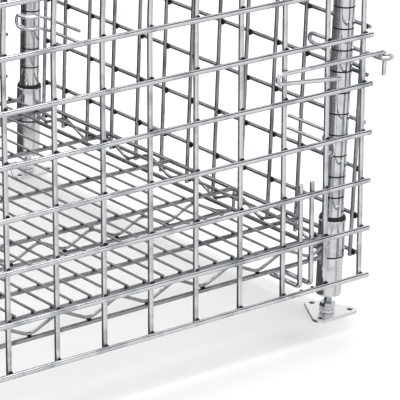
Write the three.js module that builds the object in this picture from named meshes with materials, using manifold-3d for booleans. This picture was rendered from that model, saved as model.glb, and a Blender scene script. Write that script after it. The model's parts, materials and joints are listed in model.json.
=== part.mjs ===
// Wire kennel cage: two wire shelves carried by four posts, closed by welded wire panels
// and by two hinged wire doors. Millimetres, +Z up, front towards -Y, right towards +X.

import * as THREE from 'three';
import { mergeVertices } from 'three/addons/utils/BufferGeometryUtils.js';
import Module from 'manifold-3d';

const wasm = await Module();
wasm.setup();

// ---------------------------------------------------------------- driving dimensions

// Whole cage
const POST_SPAN_X = 1200; // left posts to right posts, centre to centre
const POST_SPAN_Y = 592; // front posts to rear posts, centre to centre
const POST_LENGTH = 863.6;
const GAP = 0.3; // between pieces that touch or are welded

// Posts and feet
const POST_RADIUS = 12.7;
const POST_WALL = 1.4;
const GROOVE_PITCH = 25.4; // the posts' grooves, where a shelf can be set
const ROUND_SIDES = 16;
const PLATE_THICKNESS = 3;
const PLATE_HOLE_CIRCLE = 27; // radius to the three screw holes
const PLATE_HOLE_RADIUS = 3.2;
const PLATE_CORNER_RADIUS = 9;
const BOSS_RADIUS = 9.5;
const BOSS_HEIGHT = 2;
const BOSS_TOP_RADIUS = 7.5;
const NUT_RADIUS = 9.6; // across corners
const NUT_HEIGHT = 8.5;
const STEM_RADIUS = 5;
const STEM_REACH = 44; // above the nut, into the socket
const SOCKET_WALL = 2;
const SOCKET_CHAMFER = 3;
const SOCKET_FLOOR = 5;
const SOCKET_BASE = 23.5; // height of the socket's underside above the ground
const CAP_HEIGHT = 5;
const CAP_EDGE_HEIGHT = 2.5; // straight edge below the cap's bevel
const CAP_TOP_RADIUS = 9;
const CAP_SPIGOT = 10;

// Shelves
const COLLAR_HEIGHT = 46;
const COLLAR_WALL = 1.6;
const COLLAR_BASE = 73; // height of the bottom shelf's collars above the ground
const SLEEVE_WALL = 1.6; // between the post and the collar
const SLEEVE_PROUD = 3; // how far a sleeve shows above its collar
const SLEEVE_SPLIT = 2;
const RAIL_RADIUS = 2.75;
const RAIL_OUTSET = 3.7; // front and rear rails, outside the line of the posts
const BOTTOM_RAIL_RISE = 1.5; // bottom rail's axis above the collar's underside
const RAIL_SPACING = 26.6; // bottom rail to top rail
const ZIGZAG_RADIUS = 1.9;
const ZIGZAG_PITCH = 76.2;
const ZIGZAG_INSET = 5.5; // a rail's axis to the zigzag's bends
const SURFACE_RADIUS = 1.5;
const SURFACE_EDGE_RADIUS = 2.1; // the first and last surface wires
const SURFACE_PITCH = 25.4;
const SURFACE_SIDE_CLEARANCE = 24.5; // post line to the first surface wire
const BEARER_RADIUS = 2.6; // the cross wires that carry the surface
const BEARER_SPACING = 121;
const STIFFENER_END = 8; // side rail to the ends of the stiffener's zigzag
const STIFFENER_RADIUS = 2.5;
const TOP_RESERVE = 10; // post left above the top collar, at least

// Welded mesh panels
const PANEL_WIRE_RADIUS = 2.45; // side and back panels
const DOOR_WIRE_RADIUS = 3;
const EDGE_WIRE_EXTRA = 0.5; // added to the radius of the wires round a panel's edge
const WELD_BITE = 0.2; // how far an edge wire sinks into the wires it crosses
const ROW_PITCH = 57.15;
const SIDE_PITCH = 50.8;
const DOOR_PITCH = 63.5;
const PANEL_CLEARANCE = 0.35; // side and back panels' level wires, outside the collars
const SIDE_FRONT_CLEARANCE = 1.1; // side panel's front upright wire, in front of the collars
const SIDE_REAR_CLEARANCE = 0.4; // side panel's rear upright wire, from the rear collars
const SIDE_END_SPACE = 45.3;
const SIDE_FIRST_ROW = 78.8;
const SIDE_FIRST_SPACE = 45.4;
const SIDE_OVERHANG = 6;
const BACK_END_CLEARANCE = 66.6; // post line to the back panel's last upright wire
const BACK_WIRE_END = 22; // post line to the end of the back panel's level wires
const BACK_FIRST_ROW = 131;
const BACK_TAIL = 12; // upright wires below the back panel's first row
const TAIL = 4.5; // upright wires past the outermost rows

// Doors
const DOOR_FIRST_ROW = 63.8;
const DOOR_CLEARANCE = 5.8; // upright wires in front of the side panels, above the knee
const DOOR_KNEE_HEIGHT = 410.5;
const DOOR_KICK = THREE.MathUtils.degToRad(3.1); // lower part leans out, clear of the shelf
const HINGE_STILE_PAST_POST = 1.2;
const HINGE_END_SPACE = 54.6;
const DOOR_OVERHANG = 8;
const MEETING_GAP = 12; // between the two doors' meeting stiles
const MEETING_OVERHANG = 3;

// Hinges
const ROD_RADIUS = 2.5;
const LOWER_HINGE_ROW = 4; // rows of the door counted from its foot
const UPPER_HINGE_ROW = 2; // and from its head
const HINGE_ABOVE_ROW = 34.6;
const RING_RADIUS = 8; // to the middle of the ring's wire
const RING_DROP = 6; // ring below the door's rod
const RING_TURN = 270; // degrees
const PIN_REACH = 27.5;
const ROD_LENGTH = 161;
const EYE_LENGTH = 118;
const BEND_RADIUS = 5.5;
const PIN_BEND_EASE = 1.65; // cut off the corner between the pin and the rod
const BRACE_LENGTH = 88;
const BRACE_SLOPE = 0.1;

// Hooks and keepers
const HOOK_RADIUS = 2.2;
const HOOK_HEIGHT = 208.5;
const HOOK_SPREAD = 2 / 3; // lower hooks to upper hooks, as a share of the shelf spacing
const HOOK_LEG_SPACING = 15.5;
const HOOK_TURN_IN = 30; // where a hook's legs start to bend in towards the post
const HOOK_REACH = 94; // from the post's axis along the panel
const HOOK_START = 100; // degrees round the post, from the panel's side
const HOOK_END = 205;
const HOOK_SLACK = 0.44; // between a hook and the post that it goes round
const BACK_HOOK_RAISE = 292;
const KEEPER_RADIUS = 2.8;
const KEEPER_FROM_POST = 90;
const KEEPER_WIDTH = 17;
const KEEPER_TOP = 190;
const KEEPER_REACH = 8; // past the shelf's bottom rail
const KEEPER_SETBACK = 0.5; // behind the upright wires' plane

// Latch
const BOLT_RADIUS = 4;
const BOLT_LENGTH = 78;
const BOLT_CLEARANCE = 0.5;
const LATCH_PLATE = 2.5;
const LATCH_WIDTH = 62;
const STRIKE_WIDTH = 30;
const LATCH_HEIGHT = 78;
const HOUSING_HEIGHT = 18;
const HOUSING_DEPTH = 15;
const KNOB_RADIUS = 3;
const KNOB_LENGTH = 22;
const KNOB_HEAD_RADIUS = 6;
const KNOB_HEAD_LENGTH = 4;
const KNOB_TAPER = 2;
const BOLT_TRAVEL = 28;
const BOLT_SETBACK = 2; // tip to the housing's end when drawn back

// ---------------------------------------------------------------- places worked out from them

const FRONT = -POST_SPAN_Y / 2;
const REAR = POST_SPAN_Y / 2;
const RIGHT = POST_SPAN_X / 2;
const COLLAR_RADIUS = POST_RADIUS + SLEEVE_WALL + COLLAR_WALL + 2 * GAP;
const SOCKET_RADIUS = POST_RADIUS + SOCKET_WALL + GAP;
const PANEL_EDGE_RADIUS = PANEL_WIRE_RADIUS + EDGE_WIRE_EXTRA;
const PANEL_LAYERS = layersApart(PANEL_WIRE_RADIUS);
const PANEL_OUTSET = COLLAR_RADIUS + PANEL_CLEARANCE + PANEL_EDGE_RADIUS - PANEL_LAYERS;
const DOOR_EDGE_RADIUS = DOOR_WIRE_RADIUS + EDGE_WIRE_EXTRA;
const DOOR_LAYERS = layersApart(DOOR_WIRE_RADIUS);
const SIDE_FRONT_REACH = COLLAR_RADIUS + SIDE_FRONT_CLEARANCE; // in front of the front posts
const SIDE_REAR_SHORT = besideCollar(PANEL_EDGE_RADIUS + SIDE_REAR_CLEARANCE); // short of the rear posts
const DOOR_STAND_OFF = SIDE_FRONT_REACH + SIDE_OVERHANG + DOOR_CLEARANCE;
const POST_BASE = SOCKET_BASE + SOCKET_FLOOR + GAP;
const POST_TOP = POST_BASE + POST_LENGTH;
const TOP_COLLAR_ROOM = POST_TOP - TOP_RESERVE - COLLAR_BASE - COLLAR_HEIGHT;
const SHELF_SPACING = GROOVE_PITCH * Math.floor(TOP_COLLAR_ROOM / GROOVE_PITCH);
const BOTTOM_RAIL = COLLAR_BASE + BOTTOM_RAIL_RISE;
const TOP_RAIL = BOTTOM_RAIL + RAIL_SPACING;
const SURFACE_HEIGHT = TOP_RAIL + RAIL_RADIUS + GAP + SURFACE_EDGE_RADIUS;
const SLEEVE_OUTER = COLLAR_RADIUS - COLLAR_WALL - GAP;
const SLEEVE_INNER = POST_RADIUS + GAP;
const EYE_X = RIGHT + PANEL_OUTSET + PANEL_EDGE_RADIUS + GAP + ROD_RADIUS;
const HINGE_X = EYE_X + RING_RADIUS;
const BRACE_DROP = 2 * BEND_RADIUS + BRACE_LENGTH * BRACE_SLOPE; // main leg to the brace's end
const HINGE_HEIGHT = DOOR_FIRST_ROW + LOWER_HINGE_ROW * ROW_PITCH + HINGE_ABOVE_ROW;
const HINGE_Y = rodLayer(HINGE_HEIGHT);

// A welded mesh's upright wires to its level wires
function layersApart(wireRadius) {
  return 2 * wireRadius + EDGE_WIRE_EXTRA - WELD_BITE;
}

// How far along the post line a panel's upright wire must stand to clear a collar by a distance
function besideCollar(distance) {
  return Math.sqrt((COLLAR_RADIUS + distance) ** 2 - PANEL_OUTSET ** 2);
}

// How far a door's lower part stands out at a height
function kickAt(height) {
  return Math.max(0, DOOR_KNEE_HEIGHT - height) * Math.tan(DOOR_KICK);
}

// The plane of a door's upright wires, and of a hinge rod on them, at a height
function doorLayer(height) {
  return FRONT - DOOR_STAND_OFF - kickAt(height);
}

function rodLayer(height) {
  return doorLayer(height - BRACE_DROP) - DOOR_EDGE_RADIUS - GAP - ROD_RADIUS;
}

// ---------------------------------------------------------------- finishes

const FINISHES = {
  wire: { color: 0xc9cccd, roughness: 0.22, metalness: 1 },
  tube: { color: 0xd2d5d6, roughness: 0.16, metalness: 1 },
  casting: { color: 0xb4b7b8, roughness: 0.34, metalness: 1 },
  moulding: { color: 0x2a2b2d, roughness: 0.55, metalness: 0 },
};

const cage = new THREE.Group();

function place(name, geometry, finish, parent = cage) {
  const mesh = new THREE.Mesh(geometry, new THREE.MeshStandardMaterial(FINISHES[finish]));
  mesh.name = name;
  parent.add(mesh);
  return mesh;
}

// ---------------------------------------------------------------- solids

function toSolid(geometry) {
  const bare = geometry.clone();
  bare.deleteAttribute('normal');
  bare.deleteAttribute('uv');
  const merged = mergeVertices(bare, 1e-3);
  const triangles = [];
  const index = merged.index.array;
  for (let i = 0; i < index.length; i += 3) {
    const [a, b, c] = index.subarray(i, i + 3);
    if (a !== b && b !== c && c !== a) triangles.push(a, b, c);
  }
  return new wasm.Manifold(
    new wasm.Mesh({
      numProp: 3,
      vertProperties: Float32Array.from(merged.attributes.position.array),
      triVerts: Uint32Array.from(triangles),
    }),
  );
}

function toGeometry(solid) {
  const mesh = solid.getMesh();
  const geometry = new THREE.BufferGeometry();
  geometry.setAttribute('position', new THREE.BufferAttribute(mesh.vertProperties, 3));
  geometry.setIndex(new THREE.BufferAttribute(mesh.triVerts, 1));
  return geometry;
}

function join(geometries) {
  const solids = geometries.map(toSolid);
  return toGeometry(solids.reduce((whole, piece) => whole.add(piece)));
}

function cut(body, tools) {
  return toGeometry(tools.map(toSolid).reduce((whole, tool) => whole.subtract(tool), toSolid(body)));
}

// The same shape on the cage's other side
function mirrored(geometry, axis = 'x') {
  const copy = geometry.index ? geometry.clone() : mergeVertices(geometry);
  copy.scale(axis === 'x' ? -1 : 1, axis === 'y' ? -1 : 1, 1);
  const index = Array.from(copy.index.array);
  for (let i = 0; i < index.length; i += 3) [index[i], index[i + 1]] = [index[i + 1], index[i]];
  copy.setIndex(index);
  return copy;
}

// ---------------------------------------------------------------- wire

// A route through given points, with the section square to the mean of its two legs at each
class WireRoute extends THREE.Curve {
  constructor(points) {
    super();
    this.points = points;
  }

  getPointAt(u) {
    return this.points[Math.round(u * (this.points.length - 1))].clone();
  }

  getTangentAt(u) {
    const last = this.points.length - 1;
    const i = Math.round(u * last);
    const before = this.points[Math.max(i - 1, 0)];
    const here = this.points[i];
    const after = this.points[Math.min(i + 1, last)];
    const arriving = here.clone().sub(before).normalize();
    return after.clone().sub(here).normalize().add(arriving).normalize();
  }
}

function wire(points, radius, sides = 4) {
  const section = new THREE.Shape();
  for (let i = 0; i < sides; i++) {
    const angle = (i / sides) * 2 * Math.PI;
    const x = radius * Math.cos(angle);
    const y = radius * Math.sin(angle);
    if (i === 0) section.moveTo(x, y);
    else section.lineTo(x, y);
  }
  const route = new WireRoute(points.map((point) => new THREE.Vector3(...point)));
  return new THREE.ExtrudeGeometry(section, { steps: points.length - 1, extrudePath: route });
}

// Points along an arc in the plane of two directions
function arc(centre, from, to, radius, startDegrees, endDegrees, steps) {
  return Array.from({ length: steps + 1 }, (_, i) => {
    const angle = THREE.MathUtils.degToRad(startDegrees + ((endDegrees - startDegrees) * i) / steps);
    return centre.map((c, k) => c + radius * (Math.cos(angle) * from[k] + Math.sin(angle) * to[k]));
  });
}

// Places from one edge wire to the other: an end space, then the pitch, then what is left
function spread(start, end, endSpace, pitch) {
  const places = [start];
  let place = start + endSpace;
  while (end - place > pitch / 3) {
    places.push(place);
    place += pitch;
  }
  places.push(end);
  return places;
}

function evenly(first, pitch, limit) {
  const places = [];
  for (let place = first; place <= limit; place += pitch) places.push(place);
  return places;
}

// A welded mesh. Level wires lie on the outside of the upright ones. The wires round the
// edge are a little thicker and join every wire they cross.
function mesh({ radius, uprights, rows, upright, level }) {
  const thickness = (i, list) => (i === 0 || i === list.length - 1 ? radius + EDGE_WIRE_EXTRA : radius);
  return join([
    ...uprights.map((place, i) => wire(upright(place), thickness(i, uprights))),
    ...rows.map((place, i) => wire(level(place), thickness(i, rows))),
  ]);
}

// ---------------------------------------------------------------- round pieces

function turned(profile, sides = ROUND_SIDES) {
  const points = profile.map(([radius, height]) => new THREE.Vector2(radius, height));
  return new THREE.LatheGeometry(points, sides).rotateX(Math.PI / 2);
}

function ring(inner, outer, base, top) {
  return turned([[inner, base], [outer, base], [outer, top], [inner, top], [inner, base]]);
}

function rod(radius, base, top, sides = ROUND_SIDES) {
  return turned([[0, base], [radius, base], [radius, top], [0, top]], sides);
}

function block(sizeX, sizeY, sizeZ, x, y, z) {
  return new THREE.BoxGeometry(sizeX, sizeY, sizeZ).translate(x, y, z);
}

// ---------------------------------------------------------------- posts and feet

function footPlate() {
  const outline = new THREE.Shape();
  const corners = [90, 210, 330].map((degrees) => THREE.MathUtils.degToRad(degrees));
  for (const corner of corners) {
    const x = PLATE_HOLE_CIRCLE * Math.cos(corner);
    const y = PLATE_HOLE_CIRCLE * Math.sin(corner);
    outline.absarc(x, y, PLATE_CORNER_RADIUS, corner - Math.PI / 3, corner + Math.PI / 3, false);
    const hole = new THREE.Path();
    hole.absarc(x, y, PLATE_HOLE_RADIUS, 0, 2 * Math.PI, true);
    outline.holes.push(hole);
  }
  const plate = new THREE.ExtrudeGeometry(outline, {
    depth: PLATE_THICKNESS,
    bevelEnabled: false,
    curveSegments: 4,
  });
  const boss = turned([
    [0, PLATE_THICKNESS / 2],
    [BOSS_RADIUS, PLATE_THICKNESS / 2],
    [BOSS_RADIUS, PLATE_THICKNESS],
    [BOSS_TOP_RADIUS, PLATE_THICKNESS + BOSS_HEIGHT],
    [0, PLATE_THICKNESS + BOSS_HEIGHT],
  ]);
  return join([plate, boss]);
}

function levellingStem() {
  const nutBase = PLATE_THICKNESS + BOSS_HEIGHT + GAP;
  const nut = rod(NUT_RADIUS, nutBase, nutBase + NUT_HEIGHT, 6);
  const stem = rod(STEM_RADIUS, nutBase + NUT_HEIGHT / 2, nutBase + NUT_HEIGHT + STEM_REACH, 12);
  return join([nut, stem]);
}

function postSocket() {
  const bore = STEM_RADIUS + GAP;
  const top = COLLAR_BASE - GAP;
  const inner = POST_RADIUS + GAP;
  return turned([
    [bore, SOCKET_BASE],
    [SOCKET_RADIUS - SOCKET_CHAMFER, SOCKET_BASE],
    [SOCKET_RADIUS, SOCKET_BASE + SOCKET_CHAMFER],
    [SOCKET_RADIUS, top],
    [inner, top],
    [inner, SOCKET_BASE + SOCKET_FLOOR],
    [bore, SOCKET_BASE + SOCKET_FLOOR],
    [bore, SOCKET_BASE],
  ]);
}

function postCap() {
  const base = POST_TOP + GAP;
  const spigot = POST_RADIUS - POST_WALL - GAP;
  return turned([
    [0, base - CAP_SPIGOT],
    [spigot, base - CAP_SPIGOT],
    [spigot, base],
    [POST_RADIUS, base],
    [POST_RADIUS, base + CAP_EDGE_HEIGHT],
    [CAP_TOP_RADIUS, base + CAP_HEIGHT],
    [0, base + CAP_HEIGHT],
  ]);
}

function splitSleeve(shelfRise) {
  const base = COLLAR_BASE + shelfRise + GAP;
  const top = COLLAR_BASE + COLLAR_HEIGHT + SLEEVE_PROUD + shelfRise;
  const sleeve = ring(SLEEVE_INNER, SLEEVE_OUTER, base, top);
  const split = block(2 * COLLAR_RADIUS, SLEEVE_SPLIT, 2 * COLLAR_HEIGHT + top, -COLLAR_RADIUS, 0, top);
  return cut(sleeve, [split]);
}

// ---------------------------------------------------------------- shelves

// Zigzag between two rails, from one plan point to another
function zigzag(start, end, rise, endHeight = (BOTTOM_RAIL + TOP_RAIL) / 2) {
  const from = new THREE.Vector2(...start);
  const to = new THREE.Vector2(...end);
  const halves = 2 * Math.round(from.distanceTo(to) / ZIGZAG_PITCH) - 1;
  const points = [[...start, endHeight + rise]];
  for (let i = 0; i < halves; i++) {
    const at = from.clone().lerp(to, (i + 0.5) / halves);
    points.push([at.x, at.y, rise + (i % 2 ? TOP_RAIL - ZIGZAG_INSET : BOTTOM_RAIL + ZIGZAG_INSET)]);
  }
  points.push([...end, endHeight + rise]);
  return wire(points, ZIGZAG_RADIUS);
}

// Front, rear and side edges as pairs of plan points, each ending inside a collar's wall
function shelfEdges() {
  const inset = COLLAR_RADIUS - COLLAR_WALL / 2;
  const inward = Math.sqrt(inset ** 2 - RAIL_OUTSET ** 2);
  const edges = [];
  for (const side of [-1, 1]) {
    const y = side * (REAR + RAIL_OUTSET);
    edges.push([[-RIGHT + inward, y], [RIGHT - inward, y]]);
    edges.push([[side * RIGHT, FRONT + inset], [side * RIGHT, REAR - inset]]);
  }
  return edges;
}

function bearerPlaces() {
  const count = 2 * Math.round((POST_SPAN_Y / BEARER_SPACING - 1) / 2) + 1;
  return Array.from({ length: count }, (_, i) => (i - (count - 1) / 2) * BEARER_SPACING);
}

// A truss under the second cross wire: a lower wire, and a zigzag hung between two uprights
function stiffener(rise) {
  const y = bearerPlaces()[1];
  const upper = TOP_RAIL - RAIL_RADIUS - GAP;
  const level = (height) => [[-RIGHT, y, height + rise], [RIGHT, y, height + rise]];
  const ends = RIGHT - STIFFENER_END;
  return [
    wire(level(BOTTOM_RAIL), STIFFENER_RADIUS),
    zigzag([-ends, y], [ends, y], rise, BOTTOM_RAIL),
    ...[-RIGHT, RIGHT].map((x) => wire([[x, y, BOTTOM_RAIL + rise], [x, y, upper + rise]], ZIGZAG_RADIUS)),
  ];
}

function shelfFrame(rise) {
  const pieces = stiffener(rise);
  for (const x of [-RIGHT, RIGHT]) {
    for (const y of [FRONT, REAR]) {
      const collar = ring(COLLAR_RADIUS - COLLAR_WALL, COLLAR_RADIUS, COLLAR_BASE, COLLAR_BASE + COLLAR_HEIGHT);
      pieces.push(collar.translate(x, y, rise));
    }
  }
  for (const [start, end] of shelfEdges()) {
    for (const height of [BOTTOM_RAIL, TOP_RAIL]) {
      pieces.push(wire([[...start, height + rise], [...end, height + rise]], RAIL_RADIUS));
    }
    pieces.push(zigzag(start, end, rise));
  }
  return join(pieces);
}

// Surface wires from front to back on five cross wires. The first and last of each set join
// every wire they cross.
function shelfSurface(rise) {
  const half = Math.floor((RIGHT - SURFACE_SIDE_CLEARANCE) / SURFACE_PITCH - 0.5) + 0.5;
  const reach = REAR + RAIL_OUTSET + RAIL_RADIUS;
  const height = SURFACE_HEIGHT + rise;
  const pieces = [];
  for (let i = -half; i <= half; i++) {
    const x = i * SURFACE_PITCH;
    const radius = Math.abs(i) === half ? SURFACE_EDGE_RADIUS : SURFACE_RADIUS;
    pieces.push(wire([[x, -reach, height], [x, reach, height]], radius));
  }
  const bearers = bearerPlaces();
  const end = RIGHT - RAIL_RADIUS - GAP;
  bearers.forEach((y, i) => {
    const outermost = i === 0 || i === bearers.length - 1;
    const z = height - SURFACE_RADIUS - BEARER_RADIUS + (outermost ? GAP : -GAP);
    pieces.push(wire([[-end, y, z], [end, y, z]], BEARER_RADIUS));
  });
  return join(pieces);
}

// ---------------------------------------------------------------- fixed panels

function sidePanel() {
  const front = FRONT - SIDE_FRONT_REACH;
  const rear = REAR - SIDE_REAR_SHORT;
  const x = RIGHT + PANEL_OUTSET;
  const top = TOP_RAIL + SHELF_SPACING + TAIL;
  const rows = [SIDE_FIRST_ROW, ...evenly(SIDE_FIRST_ROW + SIDE_FIRST_SPACE, ROW_PITCH, top)];
  const tip = rows.at(-1) + TAIL;
  return mesh({
    radius: PANEL_WIRE_RADIUS,
    uprights: spread(front, rear, SIDE_END_SPACE, SIDE_PITCH),
    rows,
    upright: (y) => [[x, y, SIDE_FIRST_ROW - TAIL], [x, y, tip]],
    level: (z) => [
      [x + PANEL_LAYERS, front - SIDE_OVERHANG, z],
      [x + PANEL_LAYERS, rear + SIDE_OVERHANG, z],
    ],
  });
}

function backPanel() {
  const end = RIGHT - BACK_END_CLEARANCE;
  const y = REAR + PANEL_OUTSET;
  const rows = evenly(BACK_FIRST_ROW, ROW_PITCH, BOTTOM_RAIL + SHELF_SPACING + COLLAR_HEIGHT / 2);
  const reach = RIGHT - BACK_WIRE_END;
  const spaces = Math.round((2 * end) / SIDE_PITCH);
  const pitch = (2 * end) / spaces;
  return mesh({
    radius: PANEL_WIRE_RADIUS,
    uprights: Array.from({ length: spaces + 1 }, (_, i) => -end + i * pitch),
    rows,
    upright: (x) => [[x, y, BACK_FIRST_ROW - BACK_TAIL], [x, y, rows.at(-1) + BACK_TAIL]],
    level: (z) => [[-reach, y + PANEL_LAYERS, z], [reach, y + PANEL_LAYERS, z]],
  });
}

// ---------------------------------------------------------------- doors

function doorRows() {
  return evenly(DOOR_FIRST_ROW, ROW_PITCH, TOP_RAIL + SHELF_SPACING + TAIL);
}

function rightDoor() {
  const hingeStile = RIGHT + HINGE_STILE_PAST_POST;
  const meetingStile = MEETING_GAP / 2;
  const rows = doorRows();
  const foot = DOOR_FIRST_ROW - TAIL;
  const head = rows.at(-1) + TAIL;
  return mesh({
    radius: DOOR_WIRE_RADIUS,
    uprights: spread(-hingeStile, -meetingStile, HINGE_END_SPACE, DOOR_PITCH).map((x) => -x),
    rows,
    upright: (x) => [
      [x, doorLayer(foot), foot],
      [x, doorLayer(DOOR_KNEE_HEIGHT), DOOR_KNEE_HEIGHT],
      [x, doorLayer(head), head],
    ],
    level: (z) => [
      [hingeStile + DOOR_OVERHANG, doorLayer(z) - DOOR_LAYERS, z],
      [meetingStile - MEETING_OVERHANG, doorLayer(z) - DOOR_LAYERS, z],
    ],
  });
}

// A rod folded back on itself, its second leg leaning away as a brace. `along` is the way the
// main leg runs from `start`; the fold hangs below it.
function foldedRod(start, along, length, height) {
  const at = (distance, drop) => start.map((c, k) => c + along[k] * distance).concat(height - drop);
  const bend = [30, 60, 90, 120, 150].map((degrees) => {
    const angle = THREE.MathUtils.degToRad(degrees);
    return at(length - BEND_RADIUS + BEND_RADIUS * Math.sin(angle), BEND_RADIUS * (1 - Math.cos(angle)));
  });
  const foldBack = at(length - BEND_RADIUS, 2 * BEND_RADIUS);
  const braceEnd = at(length - BEND_RADIUS - BRACE_LENGTH, BRACE_DROP);
  return [at(length - BEND_RADIUS, 0), ...bend, foldBack, braceEnd];
}

// The door's hinge rod: a pin that hangs in the eye, and a folded rod welded to the uprights
function hingeRod(height) {
  const layer = rodLayer(height);
  const corner = BEND_RADIUS;
  const points = [
    [HINGE_X, HINGE_Y, height - PIN_REACH],
    [HINGE_X, HINGE_Y, height - corner],
    [HINGE_X - PIN_BEND_EASE, HINGE_Y, height - PIN_BEND_EASE],
    [HINGE_X - corner, HINGE_Y, height],
    [RIGHT + HINGE_STILE_PAST_POST + DOOR_OVERHANG, layer, height],
    ...foldedRod([HINGE_X, layer], [-1, 0], ROD_LENGTH, height),
  ];
  return wire(points, ROD_RADIUS, 6);
}

// The side panel's hinge eye: a rod that ends in a flat ring round the pin
function hingeEye(height) {
  const level = height - RING_DROP;
  const turn = arc([HINGE_X, HINGE_Y, level], [-1, 0, 0], [0, -1, 0], RING_RADIUS, 0, RING_TURN, 9);
  const points = [...turn.reverse(), ...foldedRod([EYE_X, HINGE_Y], [0, 1], EYE_LENGTH, level)];
  return wire(points, ROD_RADIUS, 6);
}

// A wire on the door that hooks under the shelf's edge
function shelfKeeper() {
  const x = RIGHT - KEEPER_FROM_POST;
  const back = FRONT - RAIL_OUTSET + KEEPER_REACH;
  const under = BOTTOM_RAIL - RAIL_RADIUS - 2 * GAP - KEEPER_RADIUS;
  const leg = doorLayer(under) + KEEPER_SETBACK;
  const half = [
    [x, doorLayer(KEEPER_TOP) + KEEPER_SETBACK, KEEPER_TOP],
    [x, leg, under + 2 * KEEPER_RADIUS],
    [x, leg + 2 * KEEPER_RADIUS, under],
    [x, back - KEEPER_WIDTH / 4, under],
    [x + KEEPER_WIDTH / 4, back, under],
  ];
  const other = half.map(([px, py, pz]) => [2 * x + KEEPER_WIDTH - px, py, pz]).reverse();
  return wire([...half, ...other], KEEPER_RADIUS);
}

// ---------------------------------------------------------------- hooks

// A hairpin hook round a post. It is drawn for the right-hand panel's front post, with the
// post's axis at the plan's origin, and turned or mirrored for the others.
function postHook(height) {
  const lane = PANEL_OUTSET - PANEL_EDGE_RADIUS - GAP - HOOK_RADIUS;
  const wrap = POST_RADIUS + GAP + HOOK_SLACK + HOOK_RADIUS;
  const upper = height + HOOK_LEG_SPACING / 2;
  const route = [
    [lane, HOOK_REACH],
    [lane, HOOK_TURN_IN],
    ...arc([0, 0], [1, 0], [0, 1], wrap, HOOK_START, HOOK_END, 4),
  ];
  const top = route.map(([x, y]) => [x, y, upper]);
  const bottom = route.map(([x, y]) => [x, y, upper - HOOK_LEG_SPACING]).reverse();
  return wire([...top, ...bottom], HOOK_RADIUS);
}

// ---------------------------------------------------------------- latch

const LATCH_ROW = Math.floor(doorRows().length / 2); // the latch sits above this row
const LATCH_HEIGHT_MIDDLE = DOOR_FIRST_ROW + ROW_PITCH * (LATCH_ROW + 0.5);
const LATCH_BACK = doorLayer(LATCH_HEIGHT_MIDDLE) - DOOR_LAYERS - DOOR_EDGE_RADIUS - GAP;
const BOLT_Y = LATCH_BACK - LATCH_PLATE - HOUSING_DEPTH / 2;

function latchBody(width, x) {
  const plate = block(width, LATCH_PLATE, LATCH_HEIGHT, x, LATCH_BACK - LATCH_PLATE / 2, LATCH_HEIGHT_MIDDLE);
  const overlap = LATCH_PLATE / 2;
  const depth = HOUSING_DEPTH + overlap;
  const y = LATCH_BACK - LATCH_PLATE + overlap - depth / 2;
  const housing = block(width, depth, HOUSING_HEIGHT, x, y, LATCH_HEIGHT_MIDDLE);
  const bore = rod(BOLT_RADIUS + BOLT_CLEARANCE, -width, width, 8).rotateY(Math.PI / 2);
  return { plate, housing, bore: bore.translate(x, BOLT_Y, LATCH_HEIGHT_MIDDLE) };
}

function latchHousing() {
  const x = MEETING_GAP / 2 + LATCH_WIDTH / 2;
  const { plate, housing, bore } = latchBody(LATCH_WIDTH, x);
  const slotHeight = 2 * (KNOB_RADIUS + BOLT_CLEARANCE);
  const slotWidth = BOLT_TRAVEL + slotHeight;
  const slot = block(slotWidth, HOUSING_DEPTH, slotHeight, x, BOLT_Y - HOUSING_DEPTH / 2, LATCH_HEIGHT_MIDDLE);
  return cut(join([plate, housing]), [bore, slot]);
}

function latchStrike() {
  const x = -MEETING_GAP / 2 - STRIKE_WIDTH / 2;
  const { plate, housing, bore } = latchBody(STRIKE_WIDTH, x);
  return cut(join([plate, housing]), [bore]);
}

// Drawn back, clear of the other door
function latchBolt() {
  const tip = MEETING_GAP / 2 + BOLT_SETBACK;
  const shaft = rod(BOLT_RADIUS, 0, BOLT_LENGTH, 8).rotateY(Math.PI / 2);
  const knobX = MEETING_GAP / 2 + LATCH_WIDTH / 2 + BOLT_TRAVEL / 2;
  const knob = turned([
    [0, 0],
    [KNOB_RADIUS, 0],
    [KNOB_RADIUS, KNOB_LENGTH - KNOB_HEAD_LENGTH - KNOB_TAPER],
    [KNOB_HEAD_RADIUS, KNOB_LENGTH - KNOB_HEAD_LENGTH],
    [KNOB_HEAD_RADIUS, KNOB_LENGTH],
    [0, KNOB_LENGTH],
  ], 8).rotateX(Math.PI / 2);
  shaft.translate(tip, BOLT_Y, LATCH_HEIGHT_MIDDLE);
  knob.translate(knobX, BOLT_Y, LATCH_HEIGHT_MIDDLE);
  return join([shaft, knob]);
}

// ---------------------------------------------------------------- assembly

const SIDES = { left: -1, right: 1 };
const ENDS = { front: FRONT, rear: REAR };
const SHELVES = { bottom: 0, top: SHELF_SPACING };
const HINGE_ROWS_APART = doorRows().length - 1 - LOWER_HINGE_ROW - UPPER_HINGE_ROW;
const HINGES = { lower: HINGE_HEIGHT, upper: HINGE_HEIGHT + HINGE_ROWS_APART * ROW_PITCH };
const HOOK_LEVELS = { lower: HOOK_HEIGHT, upper: HOOK_HEIGHT + HOOK_SPREAD * SHELF_SPACING };

const onSide = (geometry, side) => (SIDES[side] < 0 ? mirrored(geometry) : geometry);

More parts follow.
